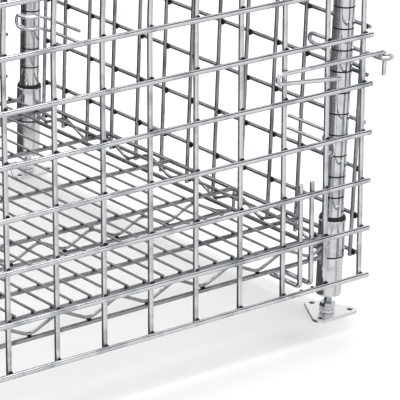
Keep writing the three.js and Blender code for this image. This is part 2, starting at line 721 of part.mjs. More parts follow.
for (const side of Object.keys(SIDES)) {
  for (const end of Object.keys(ENDS)) {
    const corner = new THREE.Group();
    corner.position.set(SIDES[side] * RIGHT, ENDS[end], 0);
    cage.add(corner);
    const name = `${end}_${side}`;
    place(`${name}_foot_plate`, footPlate(), 'casting', corner);
    place(`${name}_levelling_stem`, levellingStem(), 'casting', corner);
    place(`${name}_post_socket`, postSocket(), 'tube', corner);
    const tube = ring(POST_RADIUS - POST_WALL, POST_RADIUS, POST_BASE, POST_TOP);
    place(`${name}_post`, tube, 'tube', corner);
    place(`${name}_post_cap`, postCap(), 'moulding', corner);
    for (const shelf of Object.keys(SHELVES)) {
      place(`${name}_${shelf}_sleeve`, splitSleeve(SHELVES[shelf]), 'moulding', corner);
    }
    for (const level of Object.keys(HOOK_LEVELS)) {
      const hook = postHook(HOOK_LEVELS[level]);
      const turnedHook = end === 'rear' ? mirrored(hook, 'y') : hook;
      place(`${name}_${level}_post_hook`, onSide(turnedHook, side), 'wire', corner);
    }
  }
  const backHook = postHook(HOOK_HEIGHT + BACK_HOOK_RAISE).rotateZ(Math.PI / 2);
  backHook.translate(RIGHT, REAR, 0);
  place(`back_${side}_post_hook`, onSide(backHook, side), 'wire');
  place(`${side}_panel`, onSide(sidePanel(), side), 'wire');
  place(`${side}_door`, onSide(rightDoor(), side), 'wire');
  place(`${side}_shelf_keeper`, onSide(shelfKeeper(), side), 'wire');
  for (const hinge of Object.keys(HINGES)) {
    place(`${side}_${hinge}_hinge_rod`, onSide(hingeRod(HINGES[hinge]), side), 'wire');
    place(`${side}_${hinge}_hinge_eye`, onSide(hingeEye(HINGES[hinge]), side), 'wire');
  }
}
for (const shelf of Object.keys(SHELVES)) {
  place(`${shelf}_shelf_frame`, shelfFrame(SHELVES[shelf]), 'wire');
  place(`${shelf}_shelf_surface`, shelfSurface(SHELVES[shelf]), 'wire');
}
place('back_panel', backPanel(), 'wire');
place('latch_housing', latchHousing(), 'casting');
place('latch_bolt', latchBolt(), 'casting');
place('latch_strike', latchStrike(), 'casting');

// The origin is on the ground, under the middle of the whole
const bounds = new THREE.Box3().setFromObject(cage);
const middle = bounds.getCenter(new THREE.Vector3());
cage.position.set(-middle.x, -middle.y, -bounds.min.z);

export default cage;
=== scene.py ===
import json
import math

import bmesh
import bpy
import numpy as np
from bpy.props import FloatProperty, FloatVectorProperty, IntProperty, PointerProperty
from mathutils import Matrix, Vector

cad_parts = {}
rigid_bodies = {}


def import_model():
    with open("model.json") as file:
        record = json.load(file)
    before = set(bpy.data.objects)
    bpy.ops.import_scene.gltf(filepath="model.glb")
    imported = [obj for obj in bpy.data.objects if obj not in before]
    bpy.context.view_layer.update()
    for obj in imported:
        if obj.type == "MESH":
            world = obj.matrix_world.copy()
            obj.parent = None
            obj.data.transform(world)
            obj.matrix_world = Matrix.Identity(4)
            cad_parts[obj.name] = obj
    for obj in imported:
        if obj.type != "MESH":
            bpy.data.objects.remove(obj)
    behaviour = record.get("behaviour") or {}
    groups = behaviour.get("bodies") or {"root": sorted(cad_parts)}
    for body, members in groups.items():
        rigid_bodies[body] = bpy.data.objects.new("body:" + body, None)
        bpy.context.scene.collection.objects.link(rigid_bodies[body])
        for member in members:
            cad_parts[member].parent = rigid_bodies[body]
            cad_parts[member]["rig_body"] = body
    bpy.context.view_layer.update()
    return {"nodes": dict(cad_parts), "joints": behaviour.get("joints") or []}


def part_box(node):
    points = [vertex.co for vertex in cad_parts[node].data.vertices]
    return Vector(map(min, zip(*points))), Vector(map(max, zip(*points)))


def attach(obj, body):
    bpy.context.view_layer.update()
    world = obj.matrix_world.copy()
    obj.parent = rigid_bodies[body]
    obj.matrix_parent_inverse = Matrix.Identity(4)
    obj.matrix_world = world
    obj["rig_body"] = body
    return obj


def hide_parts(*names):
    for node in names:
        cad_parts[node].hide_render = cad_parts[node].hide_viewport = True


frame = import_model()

bl_info = {
    "name": "Wire kennel cage",
    "version": (1, 0, 0),
    "blender": (4, 5, 0),
    "location": "View3D > Sidebar > Kennel",
    "description": "Builds the drawn wire, tube, castings and mouldings of a kennel cage on its frame",
    "category": "Object",
}

MM = 0.001
NODES = frame["nodes"]
JOINTS = {joint["name"]: joint for joint in frame["joints"]}
SIDES = {"left": -1, "right": 1}
ENDS = ("front", "rear")
SHELVES = ("bottom", "top")
LEVELS = ("lower", "upper")


# ---------------------------------------------------------------- sizes and colours


def linear(srgb):
    """A colour given as sRGB hex text, in linear light."""
    shares = [int(srgb[i:i + 2], 16) / 255 for i in (1, 3, 5)]
    return tuple(c / 12.92 if c <= 0.04045 else ((c + 0.055) / 1.055) ** 2.4 for c in shares)


def length(name, description, millimetres):
    return FloatProperty(name=name, description=description, default=millimetres * MM, unit="LENGTH")


def finish_colour(name, description, srgb):
    return FloatVectorProperty(name=name, description=description, subtype="COLOR", default=linear(srgb))


class KennelWires(bpy.types.PropertyGroup):
    """Thicknesses of the drawn wires."""

    door: length("Door wire", "Radius of the wires in the doors", 3.1)
    panel: length("Panel wire", "Radius of the wires in the side and back panels", 2.5)
    rail: length("Shelf rail", "Radius of the wires round a shelf", 2.75)
    zigzag: length("Shelf zigzag", "Radius of the zigzag wire between a shelf's rails", 1.9)
    surface: length("Shelf surface", "Radius of the wires that make a shelf's surface", 1.55)
    bearer: length("Bearer", "Radius of the cross wires under a shelf's surface", 2.7)
    rod: length("Hinge rod", "Radius of the hinge rods and eyes", 2.65)
    hook: length("Hook", "Radius of the hooks round the posts", 2.2)
    keeper: length("Keeper", "Radius of the wires that hook under the shelf", 2.85)
    sides: IntProperty(
        name="Sides", description="Flats round a wire's section", default=12, min=6,
    )


class KennelPitches(bpy.types.PropertyGroup):
    """Distances at which wires and grooves repeat."""

    row: length("Row", "Between level wires of a panel", 57.15)
    side: length("Side upright", "Between upright wires of the fixed panels", 50.8)
    door: length("Door upright", "Between upright wires of a door", 63.5)
    surface: length("Surface wire", "Between a shelf's surface wires", 25.4)
    bearer: length("Bearer", "Between the cross wires under a shelf", 121)
    zigzag: length("Zigzag", "Length of one wave of a shelf's zigzag", 76.2)
    groove: length("Groove", "Between the grooves rolled in a post", 25.4)
    thread: length("Thread", "Pitch of the levelling stem's thread", 1.5)


class KennelColours(bpy.types.PropertyGroup):
    """Base colours."""

    chrome: finish_colour("Chrome", "Bright plate on wire and tube", "#e6e8eb")
    chrome_deep: finish_colour("Chrome, thin plate", "Where the plate is thin or stained", "#a8adb3")
    weld: finish_colour("Weld", "Upset steel at a spot weld, under thin plate", "#333333")
    casting: finish_colour("Casting", "Plated zinc and steel of the feet and the latch", "#ededf0")
    moulding: finish_colour("Moulding", "Black nylon of the sleeves and caps", "#1a1a1c")
    floor: finish_colour("Floor", "Studio floor", "#f7f7f7")


def wires():
    return bpy.context.scene.kennel_wires


def pitches():
    return bpy.context.scene.kennel_pitches


def colours():
    return bpy.context.scene.kennel_colours


# ---------------------------------------------------------------- materials


def shade(colour, share=1.0):
    """A linear colour made darker, as a socket takes it."""
    return (*(c * share for c in colour), 1.0)


def grey(value):
    return (value, value, value, 1.0)


def per_metre(size_mm):
    """The texture scale whose features are this many millimetres across."""
    return 1 / (size_mm * MM)


def add_node(tree, kind, settings=None, inputs=None, stops=()):
    """A node with its own settings, its inputs set or linked, and its colour ramp's (place, colour)
    stops."""
    node = tree.nodes.new(kind)
    for key, value in (settings or {}).items():
        setattr(node, key, value)
    for key, value in (inputs or {}).items():
        if isinstance(value, bpy.types.NodeSocket):
            tree.links.new(value, node.inputs[key])
        else:
            node.inputs[key].default_value = value
    if stops:
        elements = node.color_ramp.elements
        while len(elements) < len(stops):
            elements.new(0.5)
        for element, (place, colour) in zip(elements, stops):
            element.position = place
            element.color = colour
    return node


def new_material(name, metallic):
    """An empty node material, with its tree, its Principled shader and the object's coordinates."""
    made = bpy.data.materials.new(name)
    made.use_nodes = True
    tree = made.node_tree
    tree.nodes.clear()
    shader = add_node(tree, "ShaderNodeBsdfPrincipled", inputs={"Metallic": metallic})
    add_node(tree, "ShaderNodeOutputMaterial", inputs={"Surface": shader.outputs["BSDF"]})
    place = add_node(tree, "ShaderNodeTexCoord").outputs["Object"]
    return made, tree, shader, place


def finish_shader(tree, shader, colour, roughness, height, depth_mm):
    """Links colour and roughness, each a pattern with its ramp's stops, and a bump of the given depth."""
    for socket, (pattern, stops) in (("Base Color", colour), ("Roughness", roughness)):
        shown = add_node(tree, "ShaderNodeValToRGB", inputs={"Fac": pattern}, stops=stops)
        tree.links.new(shown.outputs["Color"], shader.inputs[socket])
    bump = add_node(
        tree, "ShaderNodeBump", inputs={"Strength": 1.0, "Distance": depth_mm * MM, "Height": height},
    )
    tree.links.new(bump.outputs["Normal"], shader.inputs["Normal"])


def bright_chrome(name, brightness, ripple_mm, ripple_depth_mm):
    """Decorative chrome: a mirror with a cool cast, slightly wavy from the drawing or rolling of the
    steel under it, and a little duller where the plate is thin. A brightness under 1 is painted shade:
    a darker copy of the same chrome."""
    made, tree, shader, place = new_material(name, metallic=1.0)
    stain = add_node(
        tree, "ShaderNodeTexNoise",
        inputs={"Scale": per_metre(40), "Detail": 4.0, "Roughness": 0.6, "Vector": place},
    )
    # Painted shade: a brightness under 1 darkens the same chrome
    bright = shade(colours().chrome, brightness)
    thin = shade(colours().chrome_deep, brightness)
    colour = (stain.outputs["Fac"], [(0.30, thin), (0.52, bright), (1.0, bright)])
    grain = add_node(
        tree, "ShaderNodeTexNoise", inputs={"Scale": per_metre(1.2), "Detail": 3.0, "Vector": place},
    )
    roughness = (grain.outputs["Fac"], [(0.35, grey(0.05)), (0.75, grey(0.11))])
    ripple = add_node(
        tree, "ShaderNodeTexNoise",
        inputs={"Scale": per_metre(ripple_mm), "Detail": 2.0, "Vector": place},
    )
    finish_shader(tree, shader, colour, roughness, ripple.outputs["Fac"], ripple_depth_mm)
    return made


def upset_steel(name):
    """Squeezed or sheared steel under thin chrome: dark, with the dull blue-grey of scale in its
    creases. In the posts' grooves and on the foot plates' hole walls this dark finish is painted shade."""
    made, tree, shader, place = new_material(name, metallic=0.85)
    scale = add_node(
        tree, "ShaderNodeTexNoise",
        inputs={"Scale": per_metre(1.5), "Detail": 5.0, "Roughness": 0.7, "Vector": place},
    )
    colour = (scale.outputs["Fac"], [
        (0.35, shade(linear("#121314"))), (0.60, shade(colours().weld)), (0.85, shade(linear("#6b6d70"))),
    ])
    roughness = (scale.outputs["Fac"], [(0.3, grey(0.30)), (0.8, grey(0.55))])
    finish_shader(tree, shader, colour, roughness, scale.outputs["Fac"], 0.15)
    return made


def satin_plate(name, line_mm, stretch):
    """Plated casting, pressing or turning: satin, with the fine lines of the belt or tool it was
    finished with and small pits. The lines are drawn coarser than the real 0.1 mm so that they show."""
    made, tree, shader, place = new_material(name, metallic=1.0)
    along = add_node(tree, "ShaderNodeMapping", inputs={"Scale": stretch, "Vector": place})
    lines = add_node(
        tree, "ShaderNodeTexNoise",
        inputs={"Scale": per_metre(line_mm), "Detail": 3.0, "Vector": along.outputs["Vector"]},
    )
    pits = add_node(tree, "ShaderNodeTexVoronoi", inputs={"Scale": per_metre(2.2), "Vector": place})
    pitted = add_node(
        tree, "ShaderNodeValToRGB", inputs={"Fac": pits.outputs["Distance"]},
        stops=[(0.0, grey(0.6)), (0.10, grey(1.0)), (1.0, grey(1.0))],
    )
    colour = (lines.outputs["Fac"], [
        (0.25, shade(colours().casting, 0.87)), (0.65, shade(colours().casting)),
    ])
    roughness = (lines.outputs["Fac"], [(0.3, grey(0.20)), (0.7, grey(0.30))])
    height = add_node(
        tree, "ShaderNodeMath", {"operation": "MULTIPLY"},
        {0: lines.outputs["Fac"], 1: pitted.outputs["Color"]},
    )
    finish_shader(tree, shader, colour, roughness, height.outputs["Value"], 0.012)
    return made


def moulded_nylon(name):
    """Injection-moulded nylon: near black, with a fine sparked grain that breaks up the gloss."""
    made, tree, shader, place = new_material(name, metallic=0.0)
    grain = add_node(
        tree, "ShaderNodeTexNoise", inputs={"Scale": per_metre(0.6), "Detail": 3.0, "Vector": place},
    )
    colour = (grain.outputs["Fac"], [
        (0.3, shade(colours().moulding, 0.6)), (0.8, shade(colours().moulding)),
    ])
    roughness = (grain.outputs["Fac"], [(0.3, grey(0.42)), (0.7, grey(0.58))])
    finish_shader(tree, shader, colour, roughness, grain.outputs["Fac"], 0.04)
    return made


# Drawn wire is wavy over a few centimetres, rolled tube over its longer passes; what was turned has its
# lines around it, and what was linished has them along it.
FINISHES = {
    "chromed door wire": (bright_chrome, {"brightness": 1.0, "ripple_mm": 22, "ripple_depth_mm": 0.03}),
    # The panel and shelf wires are the door's chrome made darker: painted shade.
    "chromed panel wire with painted shade": (bright_chrome, {"brightness": 0.55, "ripple_mm": 14, "ripple_depth_mm": 0.06}),
    "chromed shelf wire with painted shade": (bright_chrome, {"brightness": 0.48, "ripple_mm": 9, "ripple_depth_mm": 0.08}),
    "chromed rolled tube": (bright_chrome, {"brightness": 1.0, "ripple_mm": 60, "ripple_depth_mm": 0.02}),
    "spot weld under thin plate": (upset_steel, {}),
    # The dark finish in the posts' grooves is painted shade.
    "rolled groove with painted shade": (upset_steel, {}),
    # The dark finish on the foot plates' hole walls is painted shade.
    "sheared edge with painted shade": (upset_steel, {}),
    "satin plated casting": (satin_plate, {"line_mm": 0.5, "stretch": (0.06, 1.0, 1.0)}),
    "satin turned steel": (satin_plate, {"line_mm": 0.4, "stretch": (0.05, 0.05, 1.0)}),
    "moulded black nylon": (moulded_nylon, {}),
}


def material(name):
    """The named material, made the first time that it is asked for."""
    make, sizes = FINISHES[name]
    return bpy.data.materials.get(name) or make(name, **sizes)


# ---------------------------------------------------------------- mesh


class PieceMesh:
    """Points and faces of one piece, with a finish for each face."""

    def __init__(self, *finishes):
        self.finishes = finishes
        self.points = []
        self.faces = []
        self.finish_of_face = []

    def add(self, points, faces, finish=0):
        """Adds a closed shape. `finish` is one number, or a list with one for each face."""
        first = len(self.points)
        self.points.extend(points)
        self.faces.extend([first + i for i in face] for face in faces)
        self.finish_of_face.extend(finish if isinstance(finish, list) else [finish] * len(faces))

    def stand_for(self, node, sharp_degrees=40):
        """Makes the object, which takes the node's place on the node's body."""
        mesh = bpy.data.meshes.new("visual_" + node)
        mesh.from_pydata([tuple(point) for point in self.points], [], self.faces)
        mesh.polygons.foreach_set("material_index", self.finish_of_face)
        mesh.polygons.foreach_set("use_smooth", [True] * len(mesh.polygons))
        mesh.set_sharp_from_angle(angle=math.radians(sharp_degrees))
        for finish in self.finishes:
            mesh.materials.append(material(finish))
        piece = bpy.data.objects.new("visual_" + node, mesh)
        bpy.context.scene.collection.objects.link(piece)
        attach(piece, NODES[node]["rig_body"])
        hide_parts(node)
        return piece


def rounded(points, radius, steps=5):
    """A route with each corner replaced by an arc that starts `radius` before it, or less where a
    leg is short."""
    points = [Vector(p) for p in points]
    route = [points[0]]
    for before, corner, after in zip(points, points[1:], points[2:]):
        arriving, leaving = corner - before, after - corner
        reach = min(radius, arriving.length * 0.49, leaving.length * 0.49)
        start = corner - arriving.normalized() * reach
        end = corner + leaving.normalized() * reach
        for i in range(steps + 1):
            t = i / steps
            route.append(start * (1 - t) ** 2 + corner * 2 * t * (1 - t) + end * t ** 2)
    route.append(points[-1])
    return route


def sweep(mesh, route, radius, finish=0, sides=None):
    """A round wire along a route, its cut ends slightly rounded over."""
    sides = sides or wires().sides
    route = [Vector(p) for p in route]
    along = [(b - a).normalized() for a, b in zip(route, route[1:])]
    first = along[0]
    normal = first.orthogonal().normalized()
    rings = []
    for i, point in enumerate(route):
        tangent = (along[max(i - 1, 0)] + along[min(i, len(along) - 1)]).normalized()
        normal = (normal - tangent * normal.dot(tangent)).normalized()
        rings.append((point, tangent, normal, radius))
    lip = radius * 0.3
    head = (route[0] - first * lip * 0.5, rings[0][1], rings[0][2], radius - lip)
    tail = (route[-1] + along[-1] * lip * 0.5, rings[-1][1], rings[-1][2], radius - lip)
    rings = [head, *rings, tail]
    points = []
    for point, tangent, normal, size in rings:
        side = tangent.cross(normal)
        for k in range(sides):
            angle = 2 * math.pi * k / sides
            points.append(point + (normal * math.cos(angle) + side * math.sin(angle)) * size)
    faces = []
    for i in range(len(rings) - 1):
        for k in range(sides):
            a, b = i * sides + k, i * sides + (k + 1) % sides
            faces.append([a, b, b + sides, a + sides])
    faces.append(list(range(sides))[::-1])
    faces.append([len(points) - sides + k for k in range(sides)])
    mesh.add(points, faces, finish)


NUGGET_RINGS = 4
NUGGET_SIDES = 8


def nugget_template():
    """A unit ball of few faces, its poles along Z."""
    points = [Vector((0, 0, -1))]
    for i in range(1, NUGGET_RINGS):
        polar = math.pi * (i / NUGGET_RINGS - 0.5)
        for k in range(NUGGET_SIDES):
            angle = 2 * math.pi * k / NUGGET_SIDES
            points.append(Vector((
                math.cos(polar) * math.cos(angle), math.cos(polar) * math.sin(angle), math.sin(polar),
            )))
    points.append(Vector((0, 0, 1)))
    top = len(points) - 1
    faces = []
    for k in range(NUGGET_SIDES):
        after = (k + 1) % NUGGET_SIDES
        faces.append([0, 1 + after, 1 + k])
        last = 1 + (NUGGET_RINGS - 2) * NUGGET_SIDES
        faces.append([top, last + k, last + after])
        for i in range(NUGGET_RINGS - 2):
            a, b = 1 + i * NUGGET_SIDES + k, 1 + i * NUGGET_SIDES + after
            faces.append([a, b, b + NUGGET_SIDES, a + NUGGET_SIDES])
    return points, faces


NUGGET_POINTS, NUGGET_FACES = nugget_template()
WELD_RANDOM = np.random.default_rng(7)


def weld(mesh, centre, half_sizes, finish):
    """The metal squeezed out at a spot weld, each a little different in size."""
    growth = WELD_RANDOM.uniform(0.85, 1.15, 3)
    size = Vector([half * share for half, share in zip(half_sizes, growth)])
    mesh.add([Vector(centre) + point * size for point in NUGGET_POINTS], NUGGET_FACES, finish)


def turn(mesh, profile, centre, finish=0, sides=40, closed=False, aim=None):
    """A piece turned about the upright axis at `centre`, from (radius, height) pairs read upwards on
    the outside. A closed profile ends where it starts, and so has a bore. `finish` is one number, or
    one for each band. `aim` then moves the piece."""
    x, y = centre
    count = len(profile)
    points = []
    for radius, height in profile:
        for k in range(sides):
            angle = 2 * math.pi * k / sides
            points.append((x + radius * math.cos(angle), y + radius * math.sin(angle), height))
    if aim:
        points = [aim @ Vector(point) for point in points]
    faces = []
    for i in range(count if closed else count - 1):
        j = (i + 1) % count
        for k in range(sides):
            after = (k + 1) % sides
            faces.append([i * sides + k, i * sides + after, j * sides + after, j * sides + k])
    if not closed:
        faces.append(list(range(sides))[::-1])
        faces.append([(count - 1) * sides + k for k in range(sides)])
    if isinstance(finish, list):
        finish = [band for band in finish for _ in range(sides)]
    mesh.add(points, faces, finish)


def spread(start, end, end_space, pitch):
    """Places of a panel's wires: one at each end, an end space, then the pitch."""
    places = [start]
    place = start + end_space
    while end - place > pitch / 3:
        places.append(place)
        place += pitch
    return places + [end]


def evenly(first, pitch, limit):
    """Places a pitch apart, up to a limit."""
    places = []
    place = first
    while place <= limit:
        places.append(place)
        place += pitch
    return places


# ---------------------------------------------------------------- places read from the frame


def post_axis(end, side):
    low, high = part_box(f"{end}_{side}_post")
    return (low.x + high.x) / 2, (low.y + high.y) / 2


POST_X, FRONT_Y = post_axis("front", "right")
REAR_Y = post_axis("rear", "right")[1]
MIDDLE_Y = (FRONT_Y + REAR_Y) / 2
SHELF_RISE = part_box("top_shelf_surface")[0].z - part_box("bottom_shelf_surface")[0].z
POST_RADIUS = 12.7 * MM
COLLAR_RADIUS = 16.5 * MM
PANEL_EDGE_WIRE = 2.95 * MM  # half the thickness of the frame's edge wires
PANEL_LAYERS = 5.2 * MM  # upright wires to level wires
DOOR_LAYERS = 6.3 * MM
TAIL = 4.5 * MM  # upright wires past the outermost rows

DOOR_KNEE = 410.5 * MM
DOOR_KICK = math.radians(3.1)
DOOR_OVERHANG = 8 * MM
DOOR_END_SPACE = 54.6 * MM  # from the hinge stile to the next upright
MEETING_OVERHANG = 3 * MM
DOOR_TOP_LAYER = FRONT_Y - 29.4 * MM
DOOR_FOOT = 59.3 * MM
DOOR_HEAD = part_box("right_door")[1].z


def kick_at(height):
    """How far a door's lower part leans out at a height."""
    return max(0.0, DOOR_KNEE - height) * math.tan(DOOR_KICK)


def door_layer(height):
    """Where a door's upright wires stand at a height."""
    return DOOR_TOP_LAYER - kick_at(height)


def mirrored(points, side):
    """Points given for the right-hand side, on the side asked for."""
    return [(SIDES[side] * p[0], p[1], p[2]) for p in points]


# ---------------------------------------------------------------- welded panels

PANEL_WELD = 3.9 * MM  # half a weld's width along the wires
DOOR_WELD = 3.3 * MM
WELD_HALF_THROUGH = 2.7 * MM
DOOR_WELD_RISE = 1.4 * MM  # the welds sit to one side of their crossing
PANEL_WELD_SHIFT = 1.6 * MM


def weld_at(mesh, place, through, half_width):
    """A weld where two wires cross, flat in the panel whose thickness runs along axis `through`."""
    size = [half_width] * 3
    size[through] = WELD_HALF_THROUGH
    weld(mesh, place, size, 1)


def wire_mesh(finish):
    """An empty piece of wire with its welds' finish."""
    return PieceMesh(finish, "spot weld under thin plate")


def build_door(side):
    """A door of upright wires with a bend at the knee, and level wires in front of them."""
    low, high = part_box("right_door")
    hinge_stile = high.x - DOOR_OVERHANG
    meeting_stile = low.x + MEETING_OVERHANG
    uprights = [-x for x in spread(-hinge_stile, -meeting_stile, DOOR_END_SPACE, pitches().door)]
    rows = evenly(DOOR_FOOT + TAIL, pitches().row, DOOR_HEAD)
    mesh = wire_mesh("chromed door wire")
    for x in uprights:
        route = [(x, door_layer(z), z) for z in (DOOR_FOOT, DOOR_KNEE, DOOR_HEAD)]
        sweep(mesh, rounded(mirrored(route, side), 12 * MM), wires().door)
    for z in rows:
        y = door_layer(z) - DOOR_LAYERS
        sweep(mesh, mirrored([(high.x, y, z), (low.x, y, z)], side), wires().door)
        for x in uprights:
            place = (SIDES[side] * x, y + DOOR_LAYERS / 2, z + DOOR_WELD_RISE)
            weld_at(mesh, place, through=1, half_width=DOOR_WELD)
    return mesh.stand_for(f"{side}_door")


def build_side_panel(side):
    """A fixed side panel, its level wires outside its upright ones."""
    low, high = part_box("right_panel")
    overhang = 6 * MM
    end_space = 45.3 * MM
    x = low.x + PANEL_EDGE_WIRE
    uprights = spread(low.y + overhang, high.y - overhang, end_space, pitches().side)
    first = low.z + TAIL
    second = first + 45.4 * MM
    rows = [first] + evenly(second, pitches().row, high.z - TAIL + 1 * MM)
    mesh = wire_mesh("chromed panel wire with painted shade")
    for y in uprights:
        sweep(mesh, mirrored([(x, y, low.z), (x, y, high.z)], side), wires().panel)
    for z in rows:
        level = x + PANEL_LAYERS
        sweep(mesh, mirrored([(level, low.y, z), (level, high.y, z)], side), wires().panel)
        for y in uprights:
            place = (SIDES[side] * (x + PANEL_LAYERS / 2), y - PANEL_WELD_SHIFT, z)
            weld_at(mesh, place, through=0, half_width=PANEL_WELD)
    return mesh.stand_for(f"{side}_panel")


def build_back_panel():
    """The fixed panel between the rear posts, its level wires outside its upright ones."""
    low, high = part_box("back_panel")
    y = low.y + PANEL_EDGE_WIRE
    clear_of_post = 66.6 * MM
    end = POST_X - clear_of_post
    spaces = round(2 * end / pitches().side)
    uprights = [-end + 2 * end * i / spaces for i in range(spaces + 1)]
    rows = evenly(low.z + 12 * MM, pitches().row, high.z)
    mesh = wire_mesh("chromed panel wire with painted shade")
    for x in uprights:
        sweep(mesh, [(x, y, low.z), (x, y, high.z)], wires().panel)
    for z in rows:
        level = y + PANEL_LAYERS
        sweep(mesh, [(low.x, level, z), (high.x, level, z)], wires().panel)
        for x in uprights:
            weld_at(mesh, (x, y + PANEL_LAYERS / 2, z), through=1, half_width=PANEL_WELD)
    return mesh.stand_for("back_panel")


# ---------------------------------------------------------------- shelves

RAIL_OUTSET = 3.7 * MM
RAIL_YS = (FRONT_Y - RAIL_OUTSET, REAR_Y + RAIL_OUTSET)
COLLAR_BASE = 73 * MM
BOTTOM_RAIL = COLLAR_BASE + 1.5 * MM
TOP_RAIL = BOTTOM_RAIL + 26.6 * MM
SURFACE_HEIGHT = TOP_RAIL + 5.15 * MM
COLLAR_HEIGHT = 46 * MM
SLEEVE_FLANGE = 1.4 * MM  # of the sleeve, seen under the collar


def zigzag_route(start, end, rise, end_height):
    """The zigzag wire from one plan point to another, its bends just touching the two rails."""
    start, end = Vector(start), Vector(end)
    inset = wires().rail + wires().zigzag - 0.4 * MM
    halves = 2 * round((end - start).length / pitches().zigzag) - 1
    route = [(*start, end_height + rise)]
    for i in range(halves):
        at = start.lerp(end, (i + 0.5) / halves)
        route.append((*at, rise + (TOP_RAIL - inset if i % 2 else BOTTOM_RAIL + inset)))
    return rounded(route + [(*end, end_height + rise)], 9 * MM)


def collar(mesh, centre, rise):
    """The pressed collar of a shelf corner, with a rolled lip at each end."""
    base, top = COLLAR_BASE + SLEEVE_FLANGE + rise, COLLAR_BASE + COLLAR_HEIGHT + rise
    outer, inner = COLLAR_RADIUS, COLLAR_RADIUS - 1.6 * MM
    lip = 1.4 * MM
    profile = [
        (inner, base), (outer - 0.6 * MM, base), (outer + 0.1 * MM, base + lip * 0.5),
        (outer, base + lip), (outer - 0.5 * MM, base + lip * 1.6), (outer - 0.7 * MM, top - lip * 1.6),
        (outer - 0.2 * MM, top - lip), (outer - 0.1 * MM, top - lip * 0.5), (outer - 0.7 * MM, top),
        (inner, top),
    ]
    turn(mesh, profile, centre, finish=2, closed=True)


def build_shelf_frame(shelf):
    """Four collars joined by two rails and a zigzag on each side, and the stiffener between them."""
    rise = SHELF_RISE if shelf == "top" else 0.0
    mesh = PieceMesh("chromed shelf wire with painted shade", "spot weld under thin plate", "chromed rolled tube")
    for end in ENDS:
        for side in SIDES:
            collar(mesh, post_axis(end, side), rise)
    inset = COLLAR_RADIUS - 0.8 * MM
    inward = math.sqrt(inset ** 2 - RAIL_OUTSET ** 2)
    edges = [((inward - POST_X, y), (POST_X - inward, y)) for y in RAIL_YS]
    edges += [((x, FRONT_Y + inset), (x, REAR_Y - inset)) for x in (-POST_X, POST_X)]
    for start, end in edges:
        for height in (BOTTOM_RAIL, TOP_RAIL):
            sweep(mesh, [(*start, height + rise), (*end, height + rise)], wires().rail)
        route = zigzag_route(start, end, rise, (BOTTOM_RAIL + TOP_RAIL) / 2)
        sweep(mesh, route, wires().zigzag)
        weld_zigzag(mesh, start, end, rise)
    build_stiffener(mesh, rise)
    return mesh.stand_for(f"{shelf}_shelf_frame")


def weld_zigzag(mesh, start, end, rise):
    """The welds where a zigzag's bends touch the rails."""
    start, end = Vector(start), Vector(end)
    halves = 2 * round((end - start).length / pitches().zigzag) - 1
    inset = wires().rail
    for i in range(halves):
        at = start.lerp(end, (i + 0.5) / halves)
        height = TOP_RAIL - inset if i % 2 else BOTTOM_RAIL + inset
        weld(mesh, (*at, height + rise), (3.2 * MM, 3.2 * MM, 1.6 * MM), 1)


def build_stiffener(mesh, rise):
    """The truss under the second cross wire."""
    y = bearer_places()[1]
    reach = POST_X - 8 * MM
    route = zigzag_route((-reach, y), (reach, y), rise, BOTTOM_RAIL)
    sweep(mesh, route, wires().zigzag)
    weld_zigzag(mesh, (-reach, y), (reach, y), rise)
    sweep(mesh, [(-POST_X, y, BOTTOM_RAIL + rise), (POST_X, y, BOTTOM_RAIL + rise)], 2.5 * MM)
    for x in (-POST_X, POST_X):
        sweep(mesh, [(x, y, BOTTOM_RAIL + rise), (x, y, TOP_RAIL + rise)], wires().zigzag)


def bearer_places():
    """Where the cross wires lie, spaced evenly about the shelf's middle."""
    depth = REAR_Y - FRONT_Y
    count = 2 * round((depth / pitches().bearer - 1) / 2) + 1
    return [MIDDLE_Y + (i - (count - 1) / 2) * pitches().bearer for i in range(count)]


def build_shelf_surface(shelf):
    """The surface wires, front to back, welded to the cross wires and the rails under them."""
    rise = SHELF_RISE if shelf == "top" else 0.0
    height = SURFACE_HEIGHT + rise
    low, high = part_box(f"{shelf}_shelf_surface")
    clear_of_post = 24.5 * MM
    count = 2 * math.floor((POST_X - clear_of_post) / pitches().surface + 0.5)
    places = [(i - (count - 1) / 2) * pitches().surface for i in range(count)]
    mesh = wire_mesh("chromed shelf wire with painted shade")
    bearer_height = height - wires().surface - wires().bearer + 0.3 * MM
    bearers = bearer_places()
    for y in bearers:
        sweep(mesh, [(low.x, y, bearer_height), (high.x, y, bearer_height)], wires().bearer)
    small = (2.5 * MM, 2.5 * MM, 1.7 * MM)
    for x in places:
        sweep(mesh, [(x, low.y, height), (x, high.y, height)], wires().surface)
        for y in bearers:
            weld(mesh, (x, y, height - wires().surface), small, 1)
        for y in RAIL_YS:
            weld(mesh, (x, y, height - wires().surface - 0.6 * MM), small, 1)
    return mesh.stand_for(f"{shelf}_shelf_surface")


# ---------------------------------------------------------------- posts and their fittings

FIRST_GROOVE = 45.8 * MM


def build_post(end, side):
    """A tube with a rolled groove at every place where a shelf can be set."""
    low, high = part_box(f"{end}_{side}_post")
    half, depth = 0.9 * MM, 0.6 * MM
    wall = 1.4 * MM
    profile = [(POST_RADIUS - wall, low.z), (POST_RADIUS, low.z)]
    bands = [0, 0]
    for groove in evenly(FIRST_GROOVE, pitches().groove, high.z - 4 * MM):
        profile += [
            (POST_RADIUS, groove - half), (POST_RADIUS - depth, groove - half * 0.4),
            (POST_RADIUS - depth, groove + half * 0.4), (POST_RADIUS, groove + half),
        ]
        # Painted shade: the groove's faces take the dark finish
        bands += [1, 1, 1, 0]
    profile += [(POST_RADIUS, high.z), (POST_RADIUS - wall, high.z)]
    bands += [0, 0]
    mesh = PieceMesh("chromed rolled tube", "rolled groove with painted shade")
    turn(mesh, profile, post_axis(end, side), finish=bands, closed=True)
    return mesh.stand_for(f"{end}_{side}_post", sharp_degrees=25)


